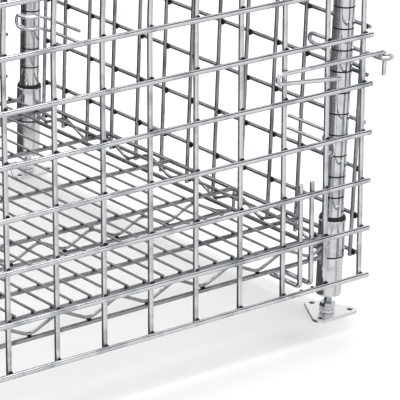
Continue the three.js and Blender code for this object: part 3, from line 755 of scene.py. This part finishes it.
def build_post_cap(end, side):
    """A domed cap with a rounded shoulder, its spigot inside the post."""
    node = f"{end}_{side}_post_cap"
    low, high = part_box(node)
    shoulder = high.z - 5 * MM
    dome = [
        (POST_RADIUS * math.cos(t), shoulder + 1.2 * MM + 3.8 * MM * math.sin(t))
        for t in np.linspace(0, math.radians(80), 8)
    ]
    spigot = 11 * MM
    profile = [
        (spigot - 0.4 * MM, low.z), (spigot, low.z + 1 * MM), (spigot, shoulder), (POST_RADIUS, shoulder),
    ]
    mesh = PieceMesh("moulded black nylon")
    turn(mesh, profile + dome, post_axis(end, side))
    return mesh.stand_for(node)


def build_sleeve(end, side, shelf):
    """The sleeve that grips the post inside the collar: a bead above it and a thin flange below."""
    node = f"{end}_{side}_{shelf}_sleeve"
    low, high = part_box(node)
    inner, outer = POST_RADIUS + 0.2 * MM, COLLAR_RADIUS - 1.9 * MM
    flange, flange_top = COLLAR_RADIUS - 0.3 * MM, low.z + SLEEVE_FLANGE - 0.1 * MM
    bead = outer + 0.9 * MM
    top = high.z + 0.8 * MM
    profile = [
        (inner, low.z), (flange, low.z), (flange, flange_top), (outer, flange_top),
        (outer, top - 4.5 * MM), (bead, top - 3.6 * MM), (bead, top - 1.2 * MM), (outer, top),
        (inner, top),
    ]
    mesh = PieceMesh("moulded black nylon")
    turn(mesh, profile, post_axis(end, side), closed=True)
    return mesh.stand_for(node)


def build_socket(end, side):
    """The turned socket under a post, its lower edge rounded over."""
    node = f"{end}_{side}_post_socket"
    low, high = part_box(node)
    radius, edge = 15 * MM, 3.5 * MM
    fillet = [
        (radius - edge + edge * math.sin(t), low.z + edge - edge * math.cos(t))
        for t in np.linspace(0, math.pi / 2, 7)
    ]
    profile = [
        (5.2 * MM, low.z), *fillet, (radius, high.z - 0.8 * MM), (radius - 0.6 * MM, high.z),
        (13.0 * MM, high.z), (13.0 * MM, low.z + 5 * MM), (5.2 * MM, low.z + 5 * MM),
    ]
    mesh = PieceMesh("satin turned steel")
    turn(mesh, profile, post_axis(end, side), closed=True)
    return mesh.stand_for(node)


def hexagon(mesh, centre, base, height, radius):
    """A hexagonal nut with its corners chamfered top and bottom."""
    steps = 48
    chamfer = 1.6 * MM
    rings = []
    for level in (0, chamfer, height - chamfer, height):
        ring = []
        for k in range(steps):
            angle = 2 * math.pi * k / steps
            within = (angle + math.pi / 6) % (math.pi / 3) - math.pi / 6
            flat = radius * math.cos(math.pi / 6) / math.cos(within)
            size = min(flat, radius * 0.89) if level in (0, height) else flat
            x, y = centre[0] + size * math.cos(angle), centre[1] + size * math.sin(angle)
            ring.append((x, y, base + level))
        rings.append(ring)
    faces = [
        [i * steps + k, i * steps + (k + 1) % steps, (i + 1) * steps + (k + 1) % steps, (i + 1) * steps + k]
        for i in range(3) for k in range(steps)
    ]
    faces.append(list(range(steps))[::-1])
    faces.append([3 * steps + k for k in range(steps)])
    mesh.add([point for ring in rings for point in ring], faces)


def build_stem(end, side):
    """The levelling stem: a chamfered hexagon and a coarse thread that runs up into the socket."""
    node = f"{end}_{side}_levelling_stem"
    low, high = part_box(node)
    centre = post_axis(end, side)
    mesh = PieceMesh("chromed rolled tube")
    nut_height = 8.5 * MM
    hexagon(mesh, centre, low.z, nut_height, 9.6 * MM)
    root, crest = 4.2 * MM, 4.95 * MM
    pitch = pitches().thread
    profile = [(root, low.z + nut_height * 0.5), (root, low.z + nut_height)]
    for height in evenly(low.z + nut_height + pitch / 2, pitch, high.z - pitch):
        profile += [(root, height - pitch * 0.4), (crest, height - pitch * 0.08),
                    (crest, height + pitch * 0.08), (root, height + pitch * 0.4)]
    profile += [(root, high.z - 0.6 * MM), (root * 0.8, high.z)]
    turn(mesh, profile, centre, sides=28)
    return mesh.stand_for(node, sharp_degrees=25)


PLATE_CORNERS = (90, 210, 330)  # degrees


def plate_outline(radius_to_corners, corner_radius, steps):
    """The rounded triangle of a foot plate, anticlockwise."""
    outline = []
    for corner in PLATE_CORNERS:
        direction = math.radians(corner)
        x, y = radius_to_corners * math.cos(direction), radius_to_corners * math.sin(direction)
        for i in range(steps + 1):
            angle = direction + math.radians(-60 + 120 * i / steps)
            outline.append((x + corner_radius * math.cos(angle), y + corner_radius * math.sin(angle)))
    return outline


def build_foot_plate(end, side):
    """A pressed plate with eased edges, three screw holes and a domed boss."""
    node = f"{end}_{side}_foot_plate"
    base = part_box(node)[0].z
    cx, cy = post_axis(end, side)
    thickness, ease = 3 * MM, 0.7 * MM
    mesh = PieceMesh("satin plated casting", "sheared edge with painted shade")
    steps, hole_steps = 16, 18
    hole_circle, hole_radius = 27 * MM, 3.2 * MM
    outline = plate_outline(hole_circle, 9 * MM, steps)
    bm = plate_with_holes(outline, hole_circle, hole_radius, hole_steps, thickness, ease)
    points = [(v.co.x + cx, v.co.y + cy, v.co.z + base) for v in bm.verts]
    faces = [[v.index for v in face.verts] for face in bm.faces]
    walls = [is_hole_wall(face, hole_circle, hole_radius) for face in bm.faces]
    bm.free()
    # The hole walls take the dark finish: painted shade in the holes
    mesh.add(points, faces, [int(wall) for wall in walls])
    boss = [
        (9.5 * MM, thickness * 0.5), (9.5 * MM, thickness + 0.3 * MM), (9.1 * MM, thickness + 1.1 * MM),
        (8.3 * MM, thickness + 1.7 * MM), (7.3 * MM, thickness + 2 * MM),
    ]
    turn(mesh, boss, (cx, cy), sides=32)
    return mesh.stand_for(node, sharp_degrees=30)


def is_hole_wall(face, hole_circle, hole_radius):
    """Whether a face of the plate lies round one of its holes."""
    centre = face.calc_center_median()
    for corner in PLATE_CORNERS:
        hole = Vector((math.cos(math.radians(corner)), math.sin(math.radians(corner)))) * hole_circle
        if abs(face.normal.z) < 0.5 and (centre.xy - hole).length < hole_radius * 1.05:
            return True
    return False


def plate_with_holes(outline, hole_circle, hole_radius, hole_steps, thickness, ease):
    """A plate between z 0 and its thickness, with three holes and its outer edges eased."""
    bm = bmesh.new()
    loops = [outline]
    for corner in PLATE_CORNERS:
        x = hole_circle * math.cos(math.radians(corner))
        y = hole_circle * math.sin(math.radians(corner))
        loops.append([
            (x + hole_radius * math.cos(2 * math.pi * k / hole_steps),
             y + hole_radius * math.sin(2 * math.pi * k / hole_steps)) for k in range(hole_steps)
        ])
    edges = []
    for loop in loops:
        verts = [bm.verts.new((x, y, 0)) for x, y in loop]
        edges += [bm.edges.new((a, b)) for a, b in zip(verts, verts[1:] + verts[:1])]
    bmesh.ops.triangle_fill(bm, use_beauty=True, use_dissolve=False, edges=edges)
    bottom = list(bm.faces)
    lifted = bmesh.ops.extrude_face_region(bm, geom=bottom)["geom"]
    raised = [part for part in lifted if isinstance(part, bmesh.types.BMVert)]
    bmesh.ops.translate(bm, vec=(0, 0, thickness), verts=raised)
    bm.normal_update()
    rim = [
        edge for edge in bm.edges
        if len(edge.link_faces) == 2 and edge.calc_face_angle(0) > math.radians(60)
        and min(v.co.z for v in edge.verts) > thickness / 2
    ]
    bmesh.ops.bevel(bm, geom=rim, offset=ease, segments=2, affect="EDGES")
    bmesh.ops.recalc_face_normals(bm, faces=bm.faces)
    bm.verts.ensure_lookup_table()
    bm.verts.index_update()
    return bm


# ---------------------------------------------------------------- hinges, hooks and keepers

ROD_LAYER = 6.3 * MM  # hinge rods in front of the door's upright wires
RING_RADIUS = 8 * MM
PIN_REACH = 27.5 * MM
FOLD_RADIUS = 5.5 * MM
BRACE_LENGTH = 88 * MM
BRACE_DROP = 2 * FOLD_RADIUS + BRACE_LENGTH * 0.1


def folded_rod(start, along, length, height):
    """A hairpin that runs from a plan point, turns back under itself and ends as a leaning brace."""
    def at(distance, drop):
        return (start[0] + along[0] * distance, start[1] + along[1] * distance, height - drop)

    turn_back = [
        at(length - FOLD_RADIUS + FOLD_RADIUS * math.sin(a), FOLD_RADIUS * (1 - math.cos(a)))
        for a in np.linspace(0, math.pi, 11)
    ]
    return [*turn_back, at(length - FOLD_RADIUS - BRACE_LENGTH, BRACE_DROP)]


def build_hinge_rod(side, level):
    """The pin that hangs in the eye, and the folded rod welded across the door's wires."""
    node = f"{side}_{level}_hinge_rod"
    pin_x, pin_y, _ = JOINTS["right_door_hinge"]["pos_m"]
    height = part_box(node)[1].z - wires().rod
    layer = door_layer(height - BRACE_DROP) - ROD_LAYER
    stile = POST_X + 9.2 * MM
    neck = rounded([
        (pin_x, pin_y, height - PIN_REACH), (pin_x, pin_y, height),
        (pin_x - 8 * MM, pin_y, height), (stile - 6 * MM, layer, height), (stile - 12 * MM, layer, height),
    ], 5 * MM)
    route = neck + [Vector(p) for p in folded_rod((pin_x, layer), (-1, 0), 161 * MM, height)]
    mesh = wire_mesh("chromed door wire")
    sweep(mesh, mirrored(route, side), wires().rod)
    uprights = [POST_X + 1.2 * MM]
    uprights.append(uprights[0] - DOOR_END_SPACE)
    uprights.append(uprights[1] - pitches().door)
    middle = (layer + door_layer(height)) / 2
    for x in uprights:
        weld(mesh, (SIDES[side] * x, middle, height), (3.2 * MM, 3.0 * MM, 2.4 * MM), 1)
    return mesh.stand_for(node)


def build_hinge_eye(side, level):
    """The rod on the side panel, ending in a flat ring round the pin."""
    node = f"{side}_{level}_hinge_eye"
    pin_x, pin_y, _ = JOINTS["right_door_hinge"]["pos_m"]
    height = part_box(node)[1].z - wires().rod
    ring = [
        (pin_x - RING_RADIUS * math.cos(a), pin_y - RING_RADIUS * math.sin(a), height)
        for a in np.linspace(math.radians(270), 0, 28)
    ]
    rod = folded_rod((pin_x - RING_RADIUS, pin_y), (0, 1), 118 * MM, height)
    mesh = wire_mesh("chromed door wire")
    sweep(mesh, mirrored([*ring, *rod], side), wires().rod)
    return mesh.stand_for(node)


def hook_route(height):
    """A hairpin round a post at the plan's origin, its legs running along a right-hand panel."""
    lane, reach = 9.15 * MM, 94 * MM
    wrap = POST_RADIUS + 0.3 * MM + wires().hook
    legs_apart = 15.5 * MM
    plan = [(lane, reach), (lane, 2 * wrap)]
    plan += [(wrap * math.cos(a), wrap * math.sin(a)) for a in np.radians(np.linspace(70, 205, 12))]
    top = [(x, y, height + legs_apart / 2) for x, y in plan]
    bottom = [(x, y, height - legs_apart / 2) for x, y in reversed(plan)]
    tip = Vector(top[-1])
    fold = [
        tip + Vector((0, -math.sin(a) * 5 * MM, -legs_apart / 2 * (1 - math.cos(a))))
        for a in np.linspace(0, math.pi, 9)[1:-1]
    ]
    return top + [tuple(p) for p in fold] + bottom


def build_post_hook(node, centre, x_axis, y_axis):
    """A hook round the post at `centre`, the plan's axes turned to the two given directions."""
    low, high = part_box(node)
    mesh = PieceMesh("chromed door wire")
    route = [
        (centre[0] + x * x_axis[0] + y * y_axis[0], centre[1] + x * x_axis[1] + y * y_axis[1], z)
        for x, y, z in hook_route((low.z + high.z) / 2)
    ]
    sweep(mesh, route, wires().hook)
    return mesh.stand_for(node)


def build_keeper(side):
    """The wire on a door that hooks under the shelf's edge, its legs welded to the door's rows."""
    node = f"{side}_shelf_keeper"
    low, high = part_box("right_shelf_keeper")
    radius = wires().keeper
    left, right = low.x + radius, high.x - radius
    under = low.z + radius
    back = high.y - radius
    top = high.z
    leg = door_layer(under) + 0.5 * MM
    route = [
        (left, door_layer(top) + 0.5 * MM, top), (left, leg, under), (left, back, under),
        (right, back, under), (right, leg, under), (right, door_layer(top) + 0.5 * MM, top),
    ]
    mesh = wire_mesh("chromed door wire")
    sweep(mesh, mirrored(rounded(route, 6 * MM), side), radius)
    for row in range(3):
        z = DOOR_FOOT + TAIL + row * pitches().row
        for x in (left, right):
            weld(mesh, (SIDES[side] * x, door_layer(z) - 2.2 * MM, z), (2.8 * MM, 2.0 * MM, 2.8 * MM), 1)
    return mesh.stand_for(node)


# ---------------------------------------------------------------- latch

LATCH_PLATE = 2.5 * MM
LATCH_EASE = 0.7 * MM
RIVET_INSET = 7 * MM
BOLT_RADIUS = 4 * MM
KNOB_RADIUS = 3 * MM
KNOB_HEAD_RADIUS = 6 * MM
TO_THE_FRONT = Matrix.Rotation(math.radians(90), 4, "X")
TO_THE_RIGHT = Matrix.Rotation(math.radians(90), 4, "Y")


def eased_solid(node, ease):
    """The points and faces of a frame solid with its square edges eased."""
    bm = bmesh.new()
    bm.from_mesh(NODES[node].data)
    bm.transform(NODES[node].matrix_world)
    bmesh.ops.remove_doubles(bm, verts=bm.verts, dist=0.01 * MM)
    bmesh.ops.dissolve_limit(bm, angle_limit=math.radians(1), verts=bm.verts, edges=bm.edges)
    square = [edge for edge in bm.edges if edge.calc_face_angle(0) > math.radians(60)]
    bmesh.ops.bevel(bm, geom=square, offset=ease, segments=2, affect="EDGES", clamp_overlap=True)
    bmesh.ops.recalc_face_normals(bm, faces=bm.faces)
    bm.verts.index_update()
    points = [vertex.co.copy() for vertex in bm.verts]
    faces = [[vertex.index for vertex in face.verts] for face in bm.faces]
    bm.free()
    return points, faces


def build_latch_body(node):
    """The housing or the strike: a plate with a box on it, and a rivet near each corner."""
    low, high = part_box(node)
    mesh = PieceMesh("satin plated casting")
    mesh.add(*eased_solid(node, LATCH_EASE))
    rivet = [
        (3.4 * MM, -0.6 * MM), (3.4 * MM, 0.3 * MM), (3.0 * MM, 0.9 * MM), (2.0 * MM, 1.4 * MM),
        (0.8 * MM, 1.6 * MM),
    ]
    face = high.y - LATCH_PLATE
    for x in (low.x + RIVET_INSET, high.x - RIVET_INSET):
        for z in (low.z + RIVET_INSET, high.z - RIVET_INSET):
            turn(mesh, rivet, (0, 0), sides=20, aim=Matrix.Translation((x, face, z)) @ TO_THE_FRONT)
    return mesh.stand_for(node, sharp_degrees=30)


def build_bolt():
    """A round bolt with a chamfered nose, and the flat-headed knob that draws it."""
    low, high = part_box("latch_bolt")
    axis_y, axis_z = high.y - BOLT_RADIUS, (low.z + high.z) / 2
    length = high.x - low.x
    nose = 1.2 * MM
    shaft = [
        (BOLT_RADIUS - nose, 0), (BOLT_RADIUS, nose), (BOLT_RADIUS, length - 0.5 * MM),
        (BOLT_RADIUS - 0.5 * MM, length),
    ]
    reach = axis_y - low.y
    neck = reach - 6 * MM
    knob = [
        (KNOB_RADIUS, 0), (KNOB_RADIUS, neck - 1 * MM), (KNOB_RADIUS + 0.5 * MM, neck),
        (KNOB_HEAD_RADIUS - 0.4 * MM, neck + 2 * MM), (KNOB_HEAD_RADIUS, neck + 2.6 * MM),
        (KNOB_HEAD_RADIUS, reach - 1 * MM), (KNOB_HEAD_RADIUS - 0.5 * MM, reach - 0.3 * MM),
        (KNOB_HEAD_RADIUS - 1.2 * MM, reach),
    ]
    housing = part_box("latch_housing")
    knob_x = (housing[0].x + housing[1].x) / 2 + JOINTS["latch_slide"]["range_m"][1] / 2
    mesh = PieceMesh("satin turned steel")
    turn(mesh, shaft, (0, 0), aim=Matrix.Translation((low.x, axis_y, axis_z)) @ TO_THE_RIGHT)
    turn(mesh, knob, (0, 0), aim=Matrix.Translation((knob_x, axis_y, axis_z)) @ TO_THE_FRONT)
    return mesh.stand_for("latch_bolt")


# ---------------------------------------------------------------- operators


class KENNEL_OT_posts(bpy.types.Operator):
    """Grooved posts with their caps and the sleeves that hold the shelves"""

    bl_idname = "kennel.posts"
    bl_label = "Posts, caps and sleeves"

    def execute(self, context):
        for end in ENDS:
            for side in SIDES:
                build_post(end, side)
                build_post_cap(end, side)
                for shelf in SHELVES:
                    build_sleeve(end, side, shelf)
        return {"FINISHED"}


class KENNEL_OT_feet(bpy.types.Operator):
    """Foot plates, levelling stems and the sockets that they screw into"""

    bl_idname = "kennel.feet"
    bl_label = "Levelling feet"

    def execute(self, context):
        for end in ENDS:
            for side in SIDES:
                build_foot_plate(end, side)
                build_stem(end, side)
                build_socket(end, side)
        return {"FINISHED"}


class KENNEL_OT_shelves(bpy.types.Operator):
    """Shelf frames of rails, zigzags and collars, and the wire surfaces on them"""

    bl_idname = "kennel.shelves"
    bl_label = "Wire shelves"

    def execute(self, context):
        for shelf in SHELVES:
            build_shelf_frame(shelf)
            build_shelf_surface(shelf)
        return {"FINISHED"}


class KENNEL_OT_panels(bpy.types.Operator):
    """The fixed side and back panels of welded wire"""

    bl_idname = "kennel.panels"
    bl_label = "Fixed panels"

    def execute(self, context):
        for side in SIDES:
            build_side_panel(side)
        build_back_panel()
        return {"FINISHED"}


class KENNEL_OT_doors(bpy.types.Operator):
    """The welded wire doors and the keepers that hook under the shelf"""

    bl_idname = "kennel.doors"
    bl_label = "Doors and keepers"

    def execute(self, context):
        for side in SIDES:
            build_door(side)
            build_keeper(side)
        return {"FINISHED"}


class KENNEL_OT_hinges(bpy.types.Operator):
    """The folded hinge rods on the doors and the eyes on the side panels"""

    bl_idname = "kennel.hinges"
    bl_label = "Hinge rods and eyes"

    def execute(self, context):
        for side in SIDES:
            for level in LEVELS:
                build_hinge_rod(side, level)
                build_hinge_eye(side, level)
        return {"FINISHED"}


class KENNEL_OT_hooks(bpy.types.Operator):
    """The hairpin hooks that hold the panels to the posts"""

    bl_idname = "kennel.hooks"
    bl_label = "Post hooks"

    def execute(self, context):
        for side, sign in SIDES.items():
            for end in ENDS:
                inward = 1 if end == "front" else -1
                for level in LEVELS:
                    node = f"{end}_{side}_{level}_post_hook"
                    build_post_hook(node, post_axis(end, side), (sign, 0), (0, inward))
            build_post_hook(f"back_{side}_post_hook", post_axis("rear", side), (0, 1), (-sign, 0))
        return {"FINISHED"}


class KENNEL_OT_latch(bpy.types.Operator):
    """The slide bolt, its housing and its strike"""

    bl_idname = "kennel.latch"
    bl_label = "Latch"

    def execute(self, context):
        build_latch_body("latch_housing")
        build_latch_body("latch_strike")
        build_bolt()
        return {"FINISHED"}


class KENNEL_OT_stage(bpy.types.Operator):
    """A plain pale floor, soft studio light and the camera"""

    bl_idname = "kennel.stage"
    bl_label = "Stage"

    def execute(self, context):
        build_floor()
        build_surroundings()
        build_lights()
        build_camera()
        context.scene.view_settings.view_transform = "Standard"
        return {"FINISHED"}


# ---------------------------------------------------------------- stage


FLOOR_HALF = 14.0


def build_floor():
    mesh = bpy.data.meshes.new("studio_floor")
    corners = [(x * FLOOR_HALF, y * FLOOR_HALF, 0) for x, y in ((-1, -1), (1, -1), (1, 1), (-1, 1))]
    mesh.from_pydata(corners, [], [[0, 1, 2, 3]])
    paper, tree, shader, place = new_material("matt paper floor", metallic=0.0)
    cloud = add_node(tree, "ShaderNodeTexNoise", inputs={"Scale": 1.5, "Detail": 2.0, "Vector": place})
    tone = add_node(
        tree, "ShaderNodeValToRGB", inputs={"Fac": cloud.outputs["Fac"]},
        stops=[(0.3, shade(colours().floor, 0.985)), (0.7, shade(colours().floor))],
    )
    tree.links.new(tone.outputs["Color"], shader.inputs["Base Color"])
    shader.inputs["Roughness"].default_value = 0.9
    shader.inputs["Specular IOR Level"].default_value = 0.0
    mesh.materials.append(paper)
    floor = bpy.data.objects.new("studio_floor", mesh)
    floor.visible_glossy = False  # the metal mirrors the surroundings below instead
    bpy.context.scene.collection.objects.link(floor)


WALL_STOPS = (  # degrees from +Y towards +X, and how light the tent's lower wall is there
    (0, 0.06), (44, 0.06), (58, 0.62), (104, 0.76), (153, 0.80), (157, 0.08), (161, 0.08), (166, 0.84),
    (254, 0.88), (268, 0.08), (300, 0.04), (330, 0.10), (360, 0.06),
)
WALL_FOOT, WALL_TOP = -40, 11  # degrees of elevation
FLAG_FOOT, FLAG_TOP = 33, 51
FLAG_LEFT, FLAG_RIGHT = 82, 136  # degrees from +Y towards +X
BELOW_WALL, FLAG_SHADE = 0.60, 0.05


def height_share(elevation):
    """An elevation in degrees as the tent's mapping gives it, from 0 straight down to 1 straight up."""
    return (math.sin(math.radians(elevation)) + 1) / 2


def between(tree, value, low, high, soft):
    """1 where a value lies between two limits, 0 elsewhere, with soft edges."""
    node = add_node(tree, "ShaderNodeValToRGB", inputs={"Fac": value}, stops=[
        (low - soft, grey(0.0)), (low + soft, grey(1.0)),
        (high - soft, grey(1.0)), (high + soft, grey(0.0)),
    ])
    return node.outputs["Color"]


def tent_places(tree):
    """How high and how far round the tent each direction points, both from 0 to 1."""
    direction = add_node(tree, "ShaderNodeTexCoord").outputs["Generated"]
    parts = add_node(tree, "ShaderNodeSeparateXYZ", inputs={"Vector": direction})
    height = add_node(tree, "ShaderNodeMapRange", inputs={
        "Value": parts.outputs["Z"], "From Min": -1.0, "From Max": 1.0,
    })
    bearing = add_node(
        tree, "ShaderNodeMath", {"operation": "ARCTAN2"}, {0: parts.outputs["X"], 1: parts.outputs["Y"]},
    )
    wrapped = add_node(
        tree, "ShaderNodeMath", {"operation": "WRAP"},
        {0: bearing.outputs["Value"], 1: 2 * math.pi, 2: 0.0},
    )
    turn_share = add_node(tree, "ShaderNodeMapRange", inputs={
        "Value": wrapped.outputs["Value"], "From Min": 0.0, "From Max": 2 * math.pi,
    })
    return height.outputs["Result"], turn_share.outputs["Result"]


def build_surroundings():
    """A white tent, seen only in reflections and as soft light: white overhead, a lower wall of grey and
    black flags, and one narrow flag high on the right. What shows behind the object is plain white."""
    world = bpy.data.worlds.new("studio")
    bpy.context.scene.world = world
    world.use_nodes = True
    tree = world.node_tree
    tree.nodes.clear()
    height, turn_share = tent_places(tree)
    wall = add_node(
        tree, "ShaderNodeValToRGB", inputs={"Fac": turn_share},
        stops=[(degrees / 360, grey(value)) for degrees, value in WALL_STOPS],
    ).outputs["Color"]
    high = between(tree, height, height_share(FLAG_FOOT), height_share(FLAG_TOP), 0.01)
    right = between(tree, turn_share, FLAG_LEFT / 360, FLAG_RIGHT / 360, 0.01)
    flag = add_node(tree, "ShaderNodeMath", {"operation": "MULTIPLY"}, {0: high, 1: right})
    tent = grey(1.0)
    for mask, colour in (
        (between(tree, height, height_share(WALL_FOOT), height_share(WALL_TOP), 0.015), wall),
        (between(tree, height, -0.1, height_share(WALL_FOOT), 0.02), grey(BELOW_WALL)),
        (flag.outputs["Value"], grey(FLAG_SHADE)),
    ):
        mix = add_node(tree, "ShaderNodeMix", {"data_type": "RGBA"}, {0: mask, 6: tent, 7: colour})
        tent = mix.outputs[2]
    reflected = add_node(tree, "ShaderNodeBackground", inputs={"Strength": 1.0, "Color": tent})
    plain = add_node(tree, "ShaderNodeBackground", inputs={"Strength": 1.0, "Color": grey(1.0)})
    path = add_node(tree, "ShaderNodeLightPath")
    shown = add_node(tree, "ShaderNodeMixShader", inputs={
        "Fac": path.outputs["Is Camera Ray"], 1: reflected.outputs["Background"],
        2: plain.outputs["Background"],
    })
    add_node(tree, "ShaderNodeOutputWorld", inputs={"Surface": shown.outputs["Shader"]})


def build_lights():
    """One large soft light overhead, for the faint shadow under the cage."""
    light = bpy.data.lights.new("overhead_softbox", "AREA")
    light.shape = "RECTANGLE"
    light.size, light.size_y = 3.0, 2.2
    light.energy = 95.0
    box = bpy.data.objects.new("overhead_softbox", light)
    box.location = (0.9, 0.4, 3.6)
    box.rotation_euler = (Vector((0, 0, 0)) - box.location).to_track_quat("-Z", "Y").to_euler()
    bpy.context.scene.collection.objects.link(box)


CAMERA_PLACE = (-1.4894, -2.4851, 1.2521)
CAMERA_BEARING = math.radians(40.52)  # from +Y towards +X
CAMERA_TILT = math.radians(-20.22)
CAMERA_ROLL = math.radians(2.25)
CAMERA_LENS = 250.9


def build_camera():
    camera = bpy.data.cameras.new("camera")
    camera.sensor_width = 36.0
    camera.lens = CAMERA_LENS
    camera.clip_start, camera.clip_end = 0.05, 60.0
    holder = bpy.data.objects.new("camera", camera)
    forward = Vector((
        math.sin(CAMERA_BEARING) * math.cos(CAMERA_TILT),
        math.cos(CAMERA_BEARING) * math.cos(CAMERA_TILT),
        math.sin(CAMERA_TILT),
    ))
    right = Vector((forward.y, -forward.x, 0)).normalized()
    up = right.cross(forward)
    rolled_right = right * math.cos(CAMERA_ROLL) + up * math.sin(CAMERA_ROLL)
    rolled_up = up * math.cos(CAMERA_ROLL) - right * math.sin(CAMERA_ROLL)
    holder.matrix_world = Matrix.Translation(CAMERA_PLACE) @ Matrix((
        (rolled_right.x, rolled_up.x, -forward.x, 0),
        (rolled_right.y, rolled_up.y, -forward.y, 0),
        (rolled_right.z, rolled_up.z, -forward.z, 0),
        (0, 0, 0, 1),
    ))
    bpy.context.scene.collection.objects.link(holder)
    bpy.context.scene.camera = holder


# ---------------------------------------------------------------- panel and registration


class KENNEL_PT_cage(bpy.types.Panel):
    """Lists the cage's pieces in the sidebar"""

    bl_idname = "KENNEL_PT_cage"
    bl_label = "Wire kennel cage"
    bl_space_type = "VIEW_3D"
    bl_region_type = "UI"
    bl_category = "Kennel"

    def draw(self, context):
        for operator in PIECE_OPERATORS:
            self.layout.operator(operator.bl_idname)
        for group in (wires(), pitches(), colours()):
            box = self.layout.box()
            for name in group.__annotations__:
                box.prop(group, name)


PIECE_OPERATORS = (
    KENNEL_OT_stage, KENNEL_OT_feet, KENNEL_OT_posts, KENNEL_OT_shelves, KENNEL_OT_panels,
    KENNEL_OT_doors, KENNEL_OT_hinges, KENNEL_OT_hooks, KENNEL_OT_latch,
)
CLASSES = (KennelWires, KennelPitches, KennelColours, *PIECE_OPERATORS, KENNEL_PT_cage)


def register():
    for cls in CLASSES:
        bpy.utils.register_class(cls)
    bpy.types.Scene.kennel_wires = PointerProperty(type=KennelWires)
    bpy.types.Scene.kennel_pitches = PointerProperty(type=KennelPitches)
    bpy.types.Scene.kennel_colours = PointerProperty(type=KennelColours)


def unregister():
    del bpy.types.Scene.kennel_colours
    del bpy.types.Scene.kennel_pitches
    del bpy.types.Scene.kennel_wires
    for cls in reversed(CLASSES):
        bpy.utils.unregister_class(cls)


def main():
    register()
    for operator in PIECE_OPERATORS:
        group, name = operator.bl_idname.split(".")
        getattr(getattr(bpy.ops, group), name)()


if __name__ == "__main__":
    main()
